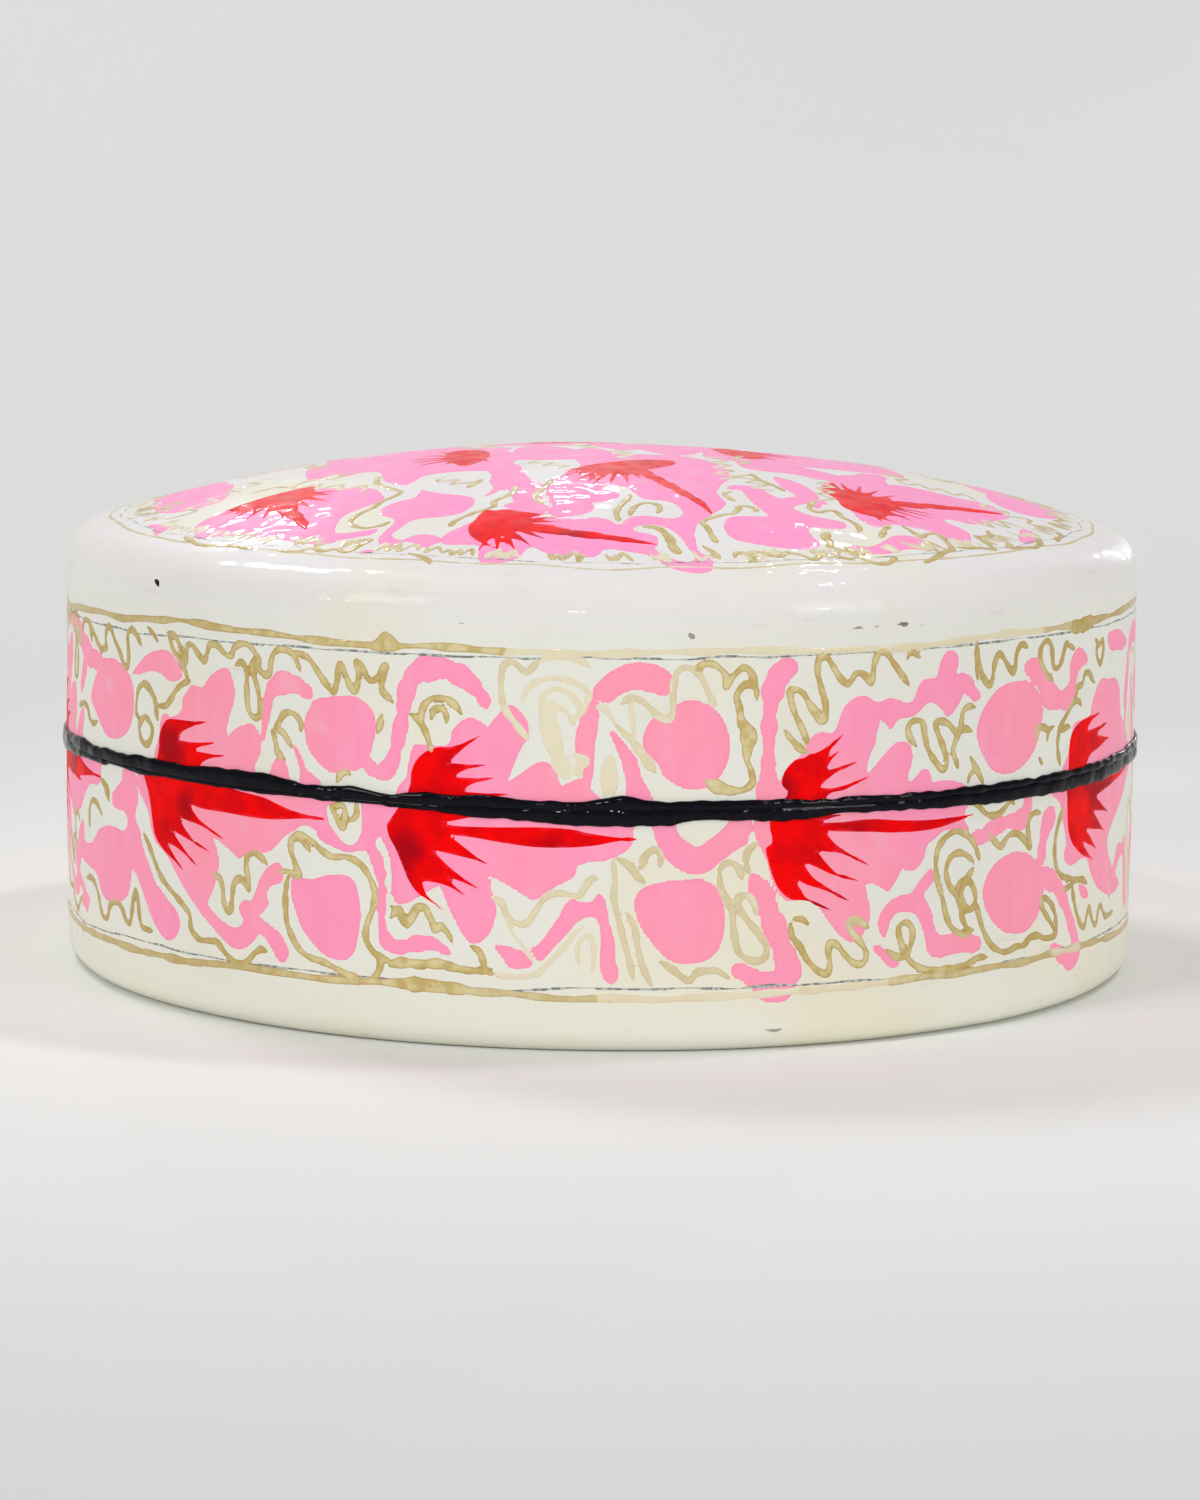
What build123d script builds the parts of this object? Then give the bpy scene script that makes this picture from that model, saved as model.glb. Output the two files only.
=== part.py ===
from build123d import *
from math import asin, atan2, cos, degrees, pi, radians, sqrt, tan
import os

# Round papier mache box with a domed lid that lifts off.
# The paper walls are plain tubes. A disc closes the base, and a moulded dome closes the lid.
# A strip bent round inside the base stands up past the rim as a neck, and the lid slips over it.
# Both rims, where base and lid meet, carry a raised edging of black lacquer.
# The origin is at the centre of the underside, +Z is up, and the box is seen from -Y.

# Outside of the box, in millimetres
box_diameter = 100.0
base_height = 21.0  # underside to the parting line
lid_side_height = 18.75  # parting line to the corner where dome and side would meet
dome_rise = 7.75  # that corner to the top of the dome
shoulder_radius = 3.5  # rounding of that corner
foot_radius = 2.0  # rounding of the bottom edge

# Paper shells
wall_thickness = 3.0
floor_thickness = 3.0
dome_thickness = 3.0
dome_inside_radius = 2.0  # rounding where the dome turns down into its rim
dome_rim_land = 0.5  # upright inside of the rim, from that rounding down to the lid wall

# Neck strip inside the base
neck_thickness = 1.6
neck_stand = 4.5  # how far it stands above the parting line
neck_clearance = 0.3  # radial gap to the lid
neck_tip_radius = 0.5
neck_joint_gap = 0.4  # where the two ends of the strip meet, at the back
neck_joint_slant = 55.0  # degrees from square across the strip

# Black lacquer on the rims
edging_height = 1.0  # up or down the outside from the parting line
edging_proud = 0.35  # beyond the outside of the wall
edging_film = 0.2  # over the cut rim of the wall
edging_radius = 0.3

# Places that follow from the sizes above
outer_radius = box_diameter / 2
inner_radius = outer_radius - wall_thickness
lid_corner_height = base_height + lid_side_height
base_wall_top = base_height - edging_film
lid_wall_bottom = base_height + edging_film
parting_plane = Plane.XY.offset(base_height)
crown_radius = (outer_radius**2 + dome_rise**2) / (2 * dome_rise)
crown_centre = (0, lid_corner_height + dome_rise - crown_radius)

# The lid wall ends just below the rounding inside the dome
inside_crown_radius = crown_radius - dome_thickness
inside_corner_height = crown_centre[1] + sqrt(inside_crown_radius**2 - inner_radius**2)
inside_corner_slope = asin(inner_radius / inside_crown_radius)
inside_rounding_depth = dome_inside_radius * tan((pi / 2 - inside_corner_slope) / 2)
lid_wall_top = inside_corner_height - inside_rounding_depth - dome_rim_land


def crown_arc(radius, edge_radius):
    """Arc of the dome's section, from its edge at edge_radius to the top, about crown_centre."""
    edge_angle = degrees(atan2(sqrt(radius**2 - edge_radius**2), edge_radius))
    return CenterArc(crown_centre, radius, edge_angle, 90 - edge_angle)


# Base wall: a tube from the table to just under the parting line, rounded at its foot
with BuildPart() as base_wall:
    with BuildSketch():
        Circle(outer_radius)
        Circle(inner_radius, mode=Mode.SUBTRACT)
    extrude(amount=base_wall_top)
    foot_edge = edges().filter_by(GeomType.CIRCLE).group_by(Axis.Z)[0].sort_by(SortBy.RADIUS)[-1]
    fillet(foot_edge, foot_radius)

# Base floor: a disc glued into the foot of the tube, flush with its end
with BuildPart() as base_floor:
    with BuildSketch():
        Circle(inner_radius)
    extrude(amount=floor_thickness)

# Neck strip: stands on the floor against the base wall, and is eased above the rim for the lid
with BuildPart() as neck_strip:
    with BuildSketch(Plane.XY.offset(floor_thickness)):
        Circle(inner_radius)
        Circle(inner_radius - neck_thickness, mode=Mode.SUBTRACT)
    extrude(amount=base_height - floor_thickness)
    with BuildSketch(parting_plane):
        Circle(inner_radius - neck_clearance)
        Circle(inner_radius - neck_thickness, mode=Mode.SUBTRACT)
    extrude(amount=neck_stand)
    tip_edges = edges().filter_by(GeomType.CIRCLE).group_by(Axis.Z)[-1]
    fillet(tip_edges, neck_tip_radius)
    # The strip's two ends meet at the back in a slanted joint
    back_of_strip = Location((0, inner_radius - neck_thickness / 2), neck_joint_slant)
    with BuildSketch(Plane.XY.offset(floor_thickness)):
        with Locations(back_of_strip):
            Rectangle(neck_joint_gap, 2 * neck_thickness / cos(radians(neck_joint_slant)))
    extrude(amount=base_height + neck_stand, mode=Mode.SUBTRACT)

# Base rim edging: a film over the cut rim with a rounded bead down the outside
with BuildPart() as base_rim_edging:
    with BuildSketch(Plane.XZ):
        with BuildLine():
            Polyline(
                (inner_radius, base_height),
                (outer_radius + edging_proud, base_height),
                (outer_radius + edging_proud, base_height - edging_height),
                (outer_radius, base_height - edging_height),
                (outer_radius, base_wall_top),
                (inner_radius, base_wall_top),
                close=True,
            )
        make_face()
        bead_corner = vertices().group_by(Axis.X)[-1].sort_by(Axis.Y)[0]
        fillet(bead_corner, min(edging_radius, 0.9 * edging_proud))
    revolve(axis=Axis.Z)

# Lid rim edging: the same bead turned over, resting on the base's at the parting line
with BuildPart() as lid_rim_edging:
    mirror(base_rim_edging.part, about=parting_plane)

# Lid wall: a tube from the lid's edging up to the dome
with BuildPart() as lid_wall:
    with BuildSketch(Plane.XY.offset(lid_wall_bottom)):
        Circle(outer_radius)
        Circle(inner_radius, mode=Mode.SUBTRACT)
    extrude(amount=lid_wall_top - lid_wall_bottom)

# Lid dome: a moulded cap of even thickness with a rounded shoulder and a short upright skirt
with BuildPart() as lid_dome:
    with BuildSketch(Plane.XZ):
        with BuildLine():
            outside = crown_arc(crown_radius, outer_radius)
            inside = crown_arc(inside_crown_radius, inner_radius)
            Polyline(
                outside @ 0,
                (outer_radius, lid_wall_top),
                (inner_radius, lid_wall_top),
                inside @ 0,
            )
            Line(outside @ 1, inside @ 1)
        make_face()
    revolve(axis=Axis.Z)
    corner_edges = edges().filter_by(Edge.is_closed).group_by(Axis.Z)[1:]
    for corner_edge, radius in zip(corner_edges, (dome_inside_radius, shoulder_radius)):
        fillet(corner_edge, radius)

pieces = {
    "base_wall": base_wall,
    "base_floor": base_floor,
    "neck_strip": neck_strip,
    "base_rim_edging": base_rim_edging,
    "lid_rim_edging": lid_rim_edging,
    "lid_wall": lid_wall,
    "lid_dome": lid_dome,
}
os.makedirs("parts", exist_ok=True)
for name, piece in pieces.items():
    piece.part.label = name
    export_step(piece.part, f"parts/{name}.step")
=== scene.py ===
from collections import namedtuple
from math import atan2, ceil, cos, pi, radians, sin, sqrt

import bmesh
import bpy
import numpy as np
from mathutils import Matrix, Vector


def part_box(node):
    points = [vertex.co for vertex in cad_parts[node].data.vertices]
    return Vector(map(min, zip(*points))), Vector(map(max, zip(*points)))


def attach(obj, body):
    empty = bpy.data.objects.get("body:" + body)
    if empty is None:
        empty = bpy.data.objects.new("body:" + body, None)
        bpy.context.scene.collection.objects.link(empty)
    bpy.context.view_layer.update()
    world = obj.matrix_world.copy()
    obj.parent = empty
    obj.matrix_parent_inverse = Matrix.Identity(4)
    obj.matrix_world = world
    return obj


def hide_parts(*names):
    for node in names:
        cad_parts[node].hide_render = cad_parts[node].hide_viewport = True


# Round papier mache box: cream ground, pink, red and gilt flowers laid on by brush, black lacquered rims.
# Lengths are millimetres until a mesh is made, and metres for the camera, the sweep and the lamps.
# Round the side, a place is (u, z): u runs along the circumference to the right from the middle of the
# front, and z is the height above the table. On the lid, a place is (x, y) as seen from above, with -y
# towards the viewer.

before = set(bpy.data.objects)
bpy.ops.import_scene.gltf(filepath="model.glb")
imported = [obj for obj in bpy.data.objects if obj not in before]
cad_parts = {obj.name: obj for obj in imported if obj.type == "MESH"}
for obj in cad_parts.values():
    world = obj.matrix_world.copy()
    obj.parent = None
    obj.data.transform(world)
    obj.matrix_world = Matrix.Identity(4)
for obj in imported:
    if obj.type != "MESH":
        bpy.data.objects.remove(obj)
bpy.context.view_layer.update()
MM = 0.001

# Sizes read from the frame
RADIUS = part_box("base_wall")[1].x / MM
INNER_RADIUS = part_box("base_floor")[1].x / MM
FLOOR_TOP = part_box("base_floor")[1].z / MM
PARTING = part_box("base_rim_edging")[1].z / MM
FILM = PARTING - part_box("base_wall")[1].z / MM
SKIRT_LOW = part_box("lid_dome")[0].z / MM
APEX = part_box("lid_dome")[1].z / MM
ROUND = 2 * pi * RADIUS

# Sizes of the shells that the frame's boxes don't tell
DOME_RISE = 7.75
DOME_THICKNESS = 3.0
SHOULDER = 3.5
DOME_INSIDE_FILLET = 2.0
FOOT = 2.0
CROWN = (RADIUS**2 + DOME_RISE**2) / (2 * DOME_RISE)
CROWN_CENTRE = APEX - CROWN

# Brushwork. A blob is a closed outline, and a hole one that is left bare. A stroke is a line of places, each
# with its own width or else the stroke's, and its tone, from 0 to 1, is how faint gilt is or how dark a scuff
# is. T marks a sharp corner.
Blob = namedtuple("Blob", "points")
Hole = namedtuple("Hole", "points")
Stroke = namedtuple("Stroke", "points width tone")
T = "corner"


class Line(Stroke):
    """A stroke drawn with even pressure, and without lifting at its ends."""


def strokes(width, tone, *lines):
    """One stroke for each line of points, all of one width unless a point brings its own."""
    return [Stroke(line, width, tone) for line in lines]


def fan(heart, width, *tips):
    """Fine strokes from one place out to each tip, as a dry brush leaves them."""
    out = []
    for tip in tips:
        middle = [0.45 * a + 0.55 * b for a, b in zip(heart, tip)]
        out.append(Stroke([(*heart, width), (*middle, 0.7 * width), (*tip, 0.06)], width, 0))
    return out


# The side's motifs, each the stretch round one disc of pink or one red flower, as seen in front
DISC_A = {
    "pink": [
        Blob([(-55, 30), (-53.5, 30.2), (-51.8, 30.2), (-50.2, 29.7), (-49, 28.8), (-48.5, 27.5), (-48.6, 26),
              (-49, 24.8), (-50, 23.7), (-51.5, 23.1), (-53.2, 22.9), (-54.5, 23.3), (-55.8, 24.2),
              (-57, 25.2), (-58, 26), (-57.6, 27), (-56.8, 28.2), (-56, 29)]),
        Stroke([(-69, 32, 0.8), (-66, 32.3, 1.2), (-63, 32, 1.7), (-60.5, 30.8, 2.2), (-58.5, 29.8, 2.2),
                (-56.5, 29.6, 1.8), (-55, 29.3, 1.5)], 1.5, 0),
        Stroke([(-59.5, 29.5, 1.6), (-60.3, 27.8, 1.4), (-61, 26.3, 1.2)], 1.4, 0),
        Blob([(-63, 21.5), (-62, 23.5), (-60.5, 24.9), (-59.8, 24.6), (-59.9, 23.5), (-61, 21.5)]),
        Blob([(-55, 14.7), (-53.5, 15.1), (-52, 15.2), (-50.7, 15), (-50, 15.3), (-49.7, 16), (-50.2, 16.6),
              (-51.5, 16.7), (-52.6, 17), (-52.7, 18), (-51.8, 18.8), (-50.9, 19.5), (-50.5, 20.7),
              (-48.5, 20.8), (-48, 19.5), (-47.7, 18), (-48.2, 16.6), (-47.3, 15.4), (-47, 14.4),
              (-46.4, 13.4), (-45.5, 12.2), (-44.8, 11.2), (-44, 10.7), (-43, 10), (-42, 9.4), (-41.3, 8.7),
              (-41.1, 7.8), (-41.5, 6.9), (-42.3, 6.3), (-43.2, 6.2), (-44.1, 6.6), (-45.2, 7.5),
              (-46.2, 8.8), (-47.2, 10.2), (-48, 11.2), (-48.8, 11.8, T), (-49, 10.5), (-49.4, 9.5),
              (-50.3, 8.7), (-51.8, 8.2), (-53.5, 8.1), (-54.8, 8.4), (-55.8, 9.3), (-56.2, 10),
              (-57.5, 10.4), (-59, 10.5), (-60.8, 10.8), (-62.5, 10.6), (-64, 10.8), (-65, 11.4), (-64, 12),
              (-62.5, 12.6), (-60.8, 12.9), (-59.3, 12.7), (-57.8, 12.9), (-56.8, 13.6), (-56, 14.3)]),
        Blob([(-72, 21), (-56, 21), (-55.3, 20), (-55.6, 19), (-57, 18.3), (-59, 17.9), (-61, 17.3),
              (-63, 16.8), (-65, 16.4), (-68, 16.8), (-72, 17.5)]),
        Blob([(-61.8, 7), (-60.8, 7.9), (-59.3, 8), (-58.3, 7.4), (-59.5, 6.6), (-61, 6.4)]),
    ],
    "red": [
        Stroke([(-70, 18.6, 0.8), (-65, 18.5, 0.7), (-61, 18.1, 0.2)], 0.7, 0),
    ],
    "gilt": strokes(
        0.64, 0,
        [(-55.6, 30.4), (-54.8, 30.9), (-54.2, 31), (-54.4, 32), (-54, 32.9), (-53.2, 32.8), (-52.4, 31.9),
         (-51.3, 30.9), (-50.4, 29.9), (-49.7, 29.8), (-49.6, 31), (-49.8, 32.4), (-49.4, 33.1), (-48.5, 33),
         (-47.7, 32.4), (-47.3, 31.9)],
        [(-59, 33), (-57.5, 32), (-56, 31), (-55, 30.6)],
        [(-48.1, 26.9), (-47.8, 28), (-46.8, 28.6), (-45.8, 28.3), (-45.1, 27.4)],
        [(-46.6, 25.8), (-47.6, 24.9), (-47.4, 23.7), (-46.6, 23.2), (-45.8, 23.7), (-45.5, 24.8),
         (-46.6, 25.8)],
        [(-48.1, 26.9), (-48.2, 25.9), (-47.6, 25.3)],
        [(-46.2, 33.7), (-45.2, 33.1), (-44.6, 32.6)],
        [(-61.6, 24.9), (-60, 25.3), (-58.8, 25), (-58.2, 24.2), (-57.2, 23.8), (-56.2, 24.1)],
        [(-55.2, 19), (-54, 18.4, 1.1), (-53.4, 17.3)],
        [(-58.3, 14.2), (-58.4, 15.6), (-57.8, 16.6), (-56.8, 16.8), (-55.8, 16.4), (-55, 15.8)],
        [(-59.5, 9.3), (-58.2, 9.6), (-57, 9.3), (-56, 8.4), (-55.4, 7.2), (-54.6, 6.5), (-53.7, 6.7),
         (-53.2, 7.8), (-52, 8.3), (-50.8, 8), (-50, 7.1), (-49.2, 6.8), (-48.9, 7.6), (-48.6, 9),
         (-48.2, 10), (-47.8, 9.2), (-47.5, 7.8), (-47.1, 6.9), (-46.2, 6.7), (-45.4, 6.7)],
    ),
}
FLOWER_B = {
    "pink": [
        Blob([(-49, 29.3), (-47.5, 30.5), (-46.5, 31.2), (-45.2, 31.7), (-43.6, 32), (-42.5, 31.8),
              (-41.6, 31.2), (-41, 30.4), (-40.9, 29.8), (-41.8, 29.3), (-42.8, 29.2), (-44.2, 29.7),
              (-45.5, 29.8), (-46.5, 29.6), (-47.5, 29.3)]),
        Blob([(-44.4, 20.9), (-44.4, 24.6), (-44.1, 25.9), (-43.4, 26.4), (-42.5, 26.2), (-41.2, 26.8),
              (-41, 27.8), (-40.4, 28.6), (-39.7, 29.3), (-38.8, 29.3), (-38.2, 29.2, T), (-37.6, 29.9),
              (-36.8, 30.6), (-35.8, 31.1), (-35.1, 31.2), (-34.7, 30.9), (-34.4, 30.2), (-34.1, 29.3),
              (-34.3, 28.2), (-34.7, 27.2), (-35.1, 26), (-35.1, 25.2, T), (-34.6, 25.7), (-33.6, 26.3),
              (-32.6, 26.6), (-31.9, 26.5), (-31.3, 25.6), (-31.1, 24.6), (-31.4, 23.6), (-31.9, 22.8),
              (-32, 20.9)]),
        Blob([(-46.8, 21), (-24.8, 21), (-24.3, 20), (-24.3, 19), (-24.6, 18.3), (-25.5, 18), (-26.6, 18.2),
              (-27.8, 17.5), (-28.6, 17), (-29.2, 16.4), (-30.2, 15.6), (-31.5, 15.3), (-32.5, 15.2),
              (-33.6, 14.6), (-34.5, 15), (-35.5, 15.5), (-36.5, 16), (-36.9, 16.1, T), (-36.3, 15.2),
              (-36, 14), (-36.2, 13), (-36.4, 12.2), (-36.8, 11.3), (-37.3, 10.3), (-36.4, 9.5), (-35.2, 8.9),
              (-34, 8.6), (-33.1, 9.2), (-33.6, 10), (-33.5, 10.8), (-32.8, 11.2), (-32.2, 11.2), (-31.8, 12),
              (-31.4, 13), (-30.7, 14), (-29.8, 14.7), (-29, 14.8), (-28.6, 14.2), (-28.7, 13.2),
              (-29.3, 12.8), (-30, 12.6), (-30.3, 12), (-30.2, 11), (-30.7, 10.3), (-31.2, 9.9, T),
              (-30, 9.3), (-28.9, 8.7), (-28.2, 7.8), (-27.9, 7), (-28.3, 6.2), (-28.8, 6), (-29.4, 6.5),
              (-30, 7.3), (-30.6, 8), (-31.2, 8.3, T), (-31.7, 7.7), (-32.5, 7), (-33.7, 6.6), (-34.9, 6.9),
              (-36, 7.6), (-37, 8.3), (-38.2, 9.1), (-39.3, 10), (-40.5, 11), (-41.5, 12), (-42.6, 13.2),
              (-43.5, 13.9), (-44.8, 14.6), (-45.5, 15.5), (-46, 17)]),
    ],
    "red": [
        Blob([(-44.4, 20.9), (-44.4, 23.4), (-44.3, 24.4), (-43.7, 25.4), (-42.9, 25.9), (-41.5, 26),
              (-38.2, 26.1, T), (-39.8, 25.5), (-40.9, 25), (-41.7, 24.2, T), (-40, 24.2), (-37, 24.4, T),
              (-38.6, 23.9), (-39.6, 23.5, T), (-35.9, 23.4, T), (-37.6, 22.9), (-38.5, 22.3),
              (-38.9, 20.9)]),
        Blob([(-46.9, 20.5, T), (-46, 21), (-37, 21), (-34, 20.6), (-31, 20.3), (-29.5, 19.9), (-27.5, 19.4),
              (-24.5, 19, T), (-27, 18.8), (-29.5, 18.5), (-32, 18.4), (-35, 18.5), (-38, 18.5),
              (-40, 18.7, T), (-38.8, 17.6), (-37.5, 17), (-36, 16.3, T), (-38.5, 17), (-40, 17.2),
              (-41.5, 17.4, T), (-40.1, 16, T), (-42.2, 16.5, T), (-37.8, 15, T), (-42.6, 16.2, T),
              (-39.4, 13.7, T), (-41.5, 14.6), (-43.2, 15, T), (-41.2, 13.1, T), (-43, 13.9), (-44.2, 14.6),
              (-45, 15.4), (-45.4, 16.6), (-45.7, 17.8), (-46.1, 19), (-46.6, 20)]),
    ],
    "gilt": strokes(
        0.64, 0,
        [(-46.9, 28.4), (-46, 28.2), (-45.2, 27.6), (-44.9, 27), (-44.2, 26.9), (-43.2, 27.1), (-42.5, 27.8),
         (-41.8, 28.6), (-40.9, 29.2), (-39.9, 29.6)],
        [(-45, 27.2), (-44.8, 26.2), (-44.6, 25.6)],
        [(-42.8, 33.1), (-42.3, 32.2), (-41.5, 31.5), (-40.8, 30.7), (-40.2, 29.9)],
        [(-43, 33.5), (-42, 33.3), (-41.3, 32.6), (-40.8, 31.7), (-40.5, 31.2), (-40.2, 32.6), (-39.5, 32.7),
         (-38.7, 32), (-38.1, 31.5), (-37.8, 31.6), (-37.5, 32.4), (-37.2, 33), (-36.3, 33), (-35.4, 32.4),
         (-34.6, 32.2), (-34.2, 33), (-33.4, 33.4), (-32.4, 33.3), (-31.6, 32.5), (-31.2, 31.8)],
        [(-34, 31.5), (-33.3, 31.8), (-32.8, 31), (-32.8, 29.5), (-32.7, 28), (-32.2, 27.2), (-31.5, 27.2),
         (-31.3, 28), (-31.5, 29.5), (-31.9, 30.6), (-32.2, 31.6), (-31.9, 32), (-31.3, 31.3), (-30.7, 30.9),
         (-30.2, 31.2), (-30, 32.2), (-29.6, 33), (-28.7, 33.3), (-27.7, 33), (-27.2, 32.2), (-26.9, 31.6)],
        [(-46.8, 15.2), (-45.9, 14.3), (-45, 13), (-44, 11.8), (-42.9, 11), (-41.7, 10.3), (-40.6, 9.6),
         (-39.8, 8.9), (-39.7, 8), (-39.3, 7.4), (-38.4, 6.9), (-37.2, 7), (-36.2, 7), (-35.5, 6.4),
         (-34.6, 5.8), (-33.4, 5.4), (-32.4, 5.9), (-31.7, 6.6), (-31, 7), (-30.4, 6.9)],
        [(-36.7, 12.9), (-36, 12.7), (-35.6, 11.9), (-35.4, 10.6), (-34.9, 9.9), (-34.5, 10.2), (-34.4, 11.4),
         (-34.2, 12.4), (-33.6, 12.9), (-32.8, 12.4), (-32.5, 12.1), (-32.6, 13), (-32.8, 14), (-32.7, 14.9),
         (-31.9, 15.3), (-31.1, 15), (-30.5, 14.5)],
    ),
}
DISC_B = {
    "pink": [
        Stroke([(-31, 25.3, 0.8), (-30.7, 27.2, 1.0), (-30.4, 28.9, 1.3), (-29.5, 30.1, 1.8),
                (-28, 30.5, 1.9), (-26.6, 30, 1.6), (-25.9, 29.5, 1.2)], 1.4, 0),
        Blob([(-30.4, 20.9), (-30.2, 22.8), (-29.7, 23.7), (-29.2, 24.1), (-28.6, 23.8), (-28.2, 23),
              (-27.9, 20.9)]),
        Blob([(-27.9, 25.3), (-27.3, 25), (-26.7, 24.2), (-26.3, 23.3), (-25.6, 22.8), (-24.8, 22.2),
              (-24.7, 20.9), (-27, 20.9), (-27.1, 23), (-27.5, 24.2)]),
        Blob([(-25.3, 29.3), (-24.2, 29.6), (-22.8, 29.8), (-21.5, 29.9), (-20.3, 29.3), (-19.6, 28.5),
              (-19.4, 27.3), (-19.6, 26), (-19.9, 25), (-20.1, 24.3), (-21, 23.5), (-22.3, 23.2), (-23.7, 23),
              (-24.8, 23.5), (-26, 24.6), (-26.5, 25.8), (-26.6, 27.2), (-26.1, 28.4)]),
        Blob([(-24.3, 20.9), (-25.3, 18), (-24.7, 17), (-23.6, 16.6), (-22.4, 16.3), (-21.2, 16.4),
              (-20.1, 16.6), (-19.4, 16.4), (-19.4, 17), (-19.2, 18.2), (-18.9, 19.5), (-18.7, 20.9),
              (-20.8, 20.9), (-20.8, 18.6), (-21.2, 17.5), (-21.8, 17), (-22.6, 17.3), (-23.3, 18),
              (-24, 19)]),
        Blob([(-27.8, 13.6), (-26.8, 13.8), (-25.5, 13.8), (-24.3, 14.2), (-23.2, 14.4), (-21.9, 14.3),
              (-21.2, 13.5), (-20.9, 12.3), (-20.7, 11), (-20.9, 9.7), (-21.1, 8.5), (-21.5, 7.5),
              (-22.3, 6.9), (-23.5, 6.9), (-24.7, 7.4), (-25.8, 8.3), (-26.7, 9.3), (-27.3, 10.5),
              (-27.8, 11.7), (-28, 12.8)]),
    ],
    "red": [],
    "gilt": strokes(
        0.64, 0,
        [(-27.8, 33), (-26.8, 33), (-26, 32.7), (-25.3, 31.9), (-24.4, 30.8), (-23.6, 30), (-23.3, 30.4),
         (-23.1, 31.5), (-22.9, 32.5), (-22.5, 31.9), (-22, 30.8), (-21.5, 30.2), (-21.2, 30.8), (-21.1, 32),
         (-21.3, 32.7), (-21, 32.6), (-20.5, 31.9), (-20, 31.2), (-19.2, 31.6), (-18.7, 32.5), (-18.5, 32.4),
         (-18.8, 31.4), (-18.9, 30.5), (-18.2, 29.8), (-17.9, 29.5)],
        [(-29.8, 26.3), (-29.3, 26.8), (-28.8, 27.6), (-28.2, 27.9), (-27.4, 27.7), (-26.9, 27.1),
         (-26.9, 26.4)],
        [(-29.6, 26.4), (-28.8, 26.1), (-28.2, 25.4), (-27.9, 24.9)],
        [(-30, 26.2), (-29.6, 25.2), (-29.4, 24.4), (-28.6, 23.8)],
        [(-18.9, 28.4), (-19.1, 27.4), (-19.3, 26.8)],
        [(-23.2, 22.3), (-22.8, 23), (-22.2, 23.2), (-21.9, 23)],
        [(-23.8, 20.2), (-23.2, 19.2), (-22.6, 18.4), (-22.4, 19.4), (-22.6, 20.3), (-23.8, 20.2)],
        [(-21.3, 20.6), (-21.3, 19.6), (-22, 19)],
        [(-29, 14), (-28.2, 14.1), (-27, 13.9), (-27.4, 14.8), (-27.9, 16), (-27.8, 17), (-27, 17.1),
         (-26.4, 16.6), (-25.9, 16.1)],
        [(-27.8, 17.2), (-26.8, 17.4), (-25.6, 16.9), (-24.6, 16.2), (-23.6, 15.8), (-22.2, 15.9),
         (-20.9, 15.4), (-20, 14.3), (-19.5, 13), (-19.7, 11.6), (-20.2, 10.3), (-20.3, 9), (-19.7, 8),
         (-19, 7.3), (-19, 6.5), (-19.6, 5.6), (-20.5, 5.3)],
        [(-28.2, 13.6), (-28.4, 12.4), (-28.4, 11), (-28.2, 9.6), (-27.6, 8.4), (-26.8, 7.4), (-25.8, 6.9),
         (-24.4, 6.6), (-23, 6.1), (-21.8, 5.7), (-20.8, 5.5)],
        [(-19.6, 8), (-18.6, 7.4), (-17.4, 7), (-16.2, 7.2), (-15, 6.8)],
        [(-18, 12), (-17.3, 11.6), (-16.8, 10.6), (-16.3, 11.2), (-15.7, 12), (-15, 12.1), (-14.5, 11.3),
         (-14.2, 10.4)],
    ),
}
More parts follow.
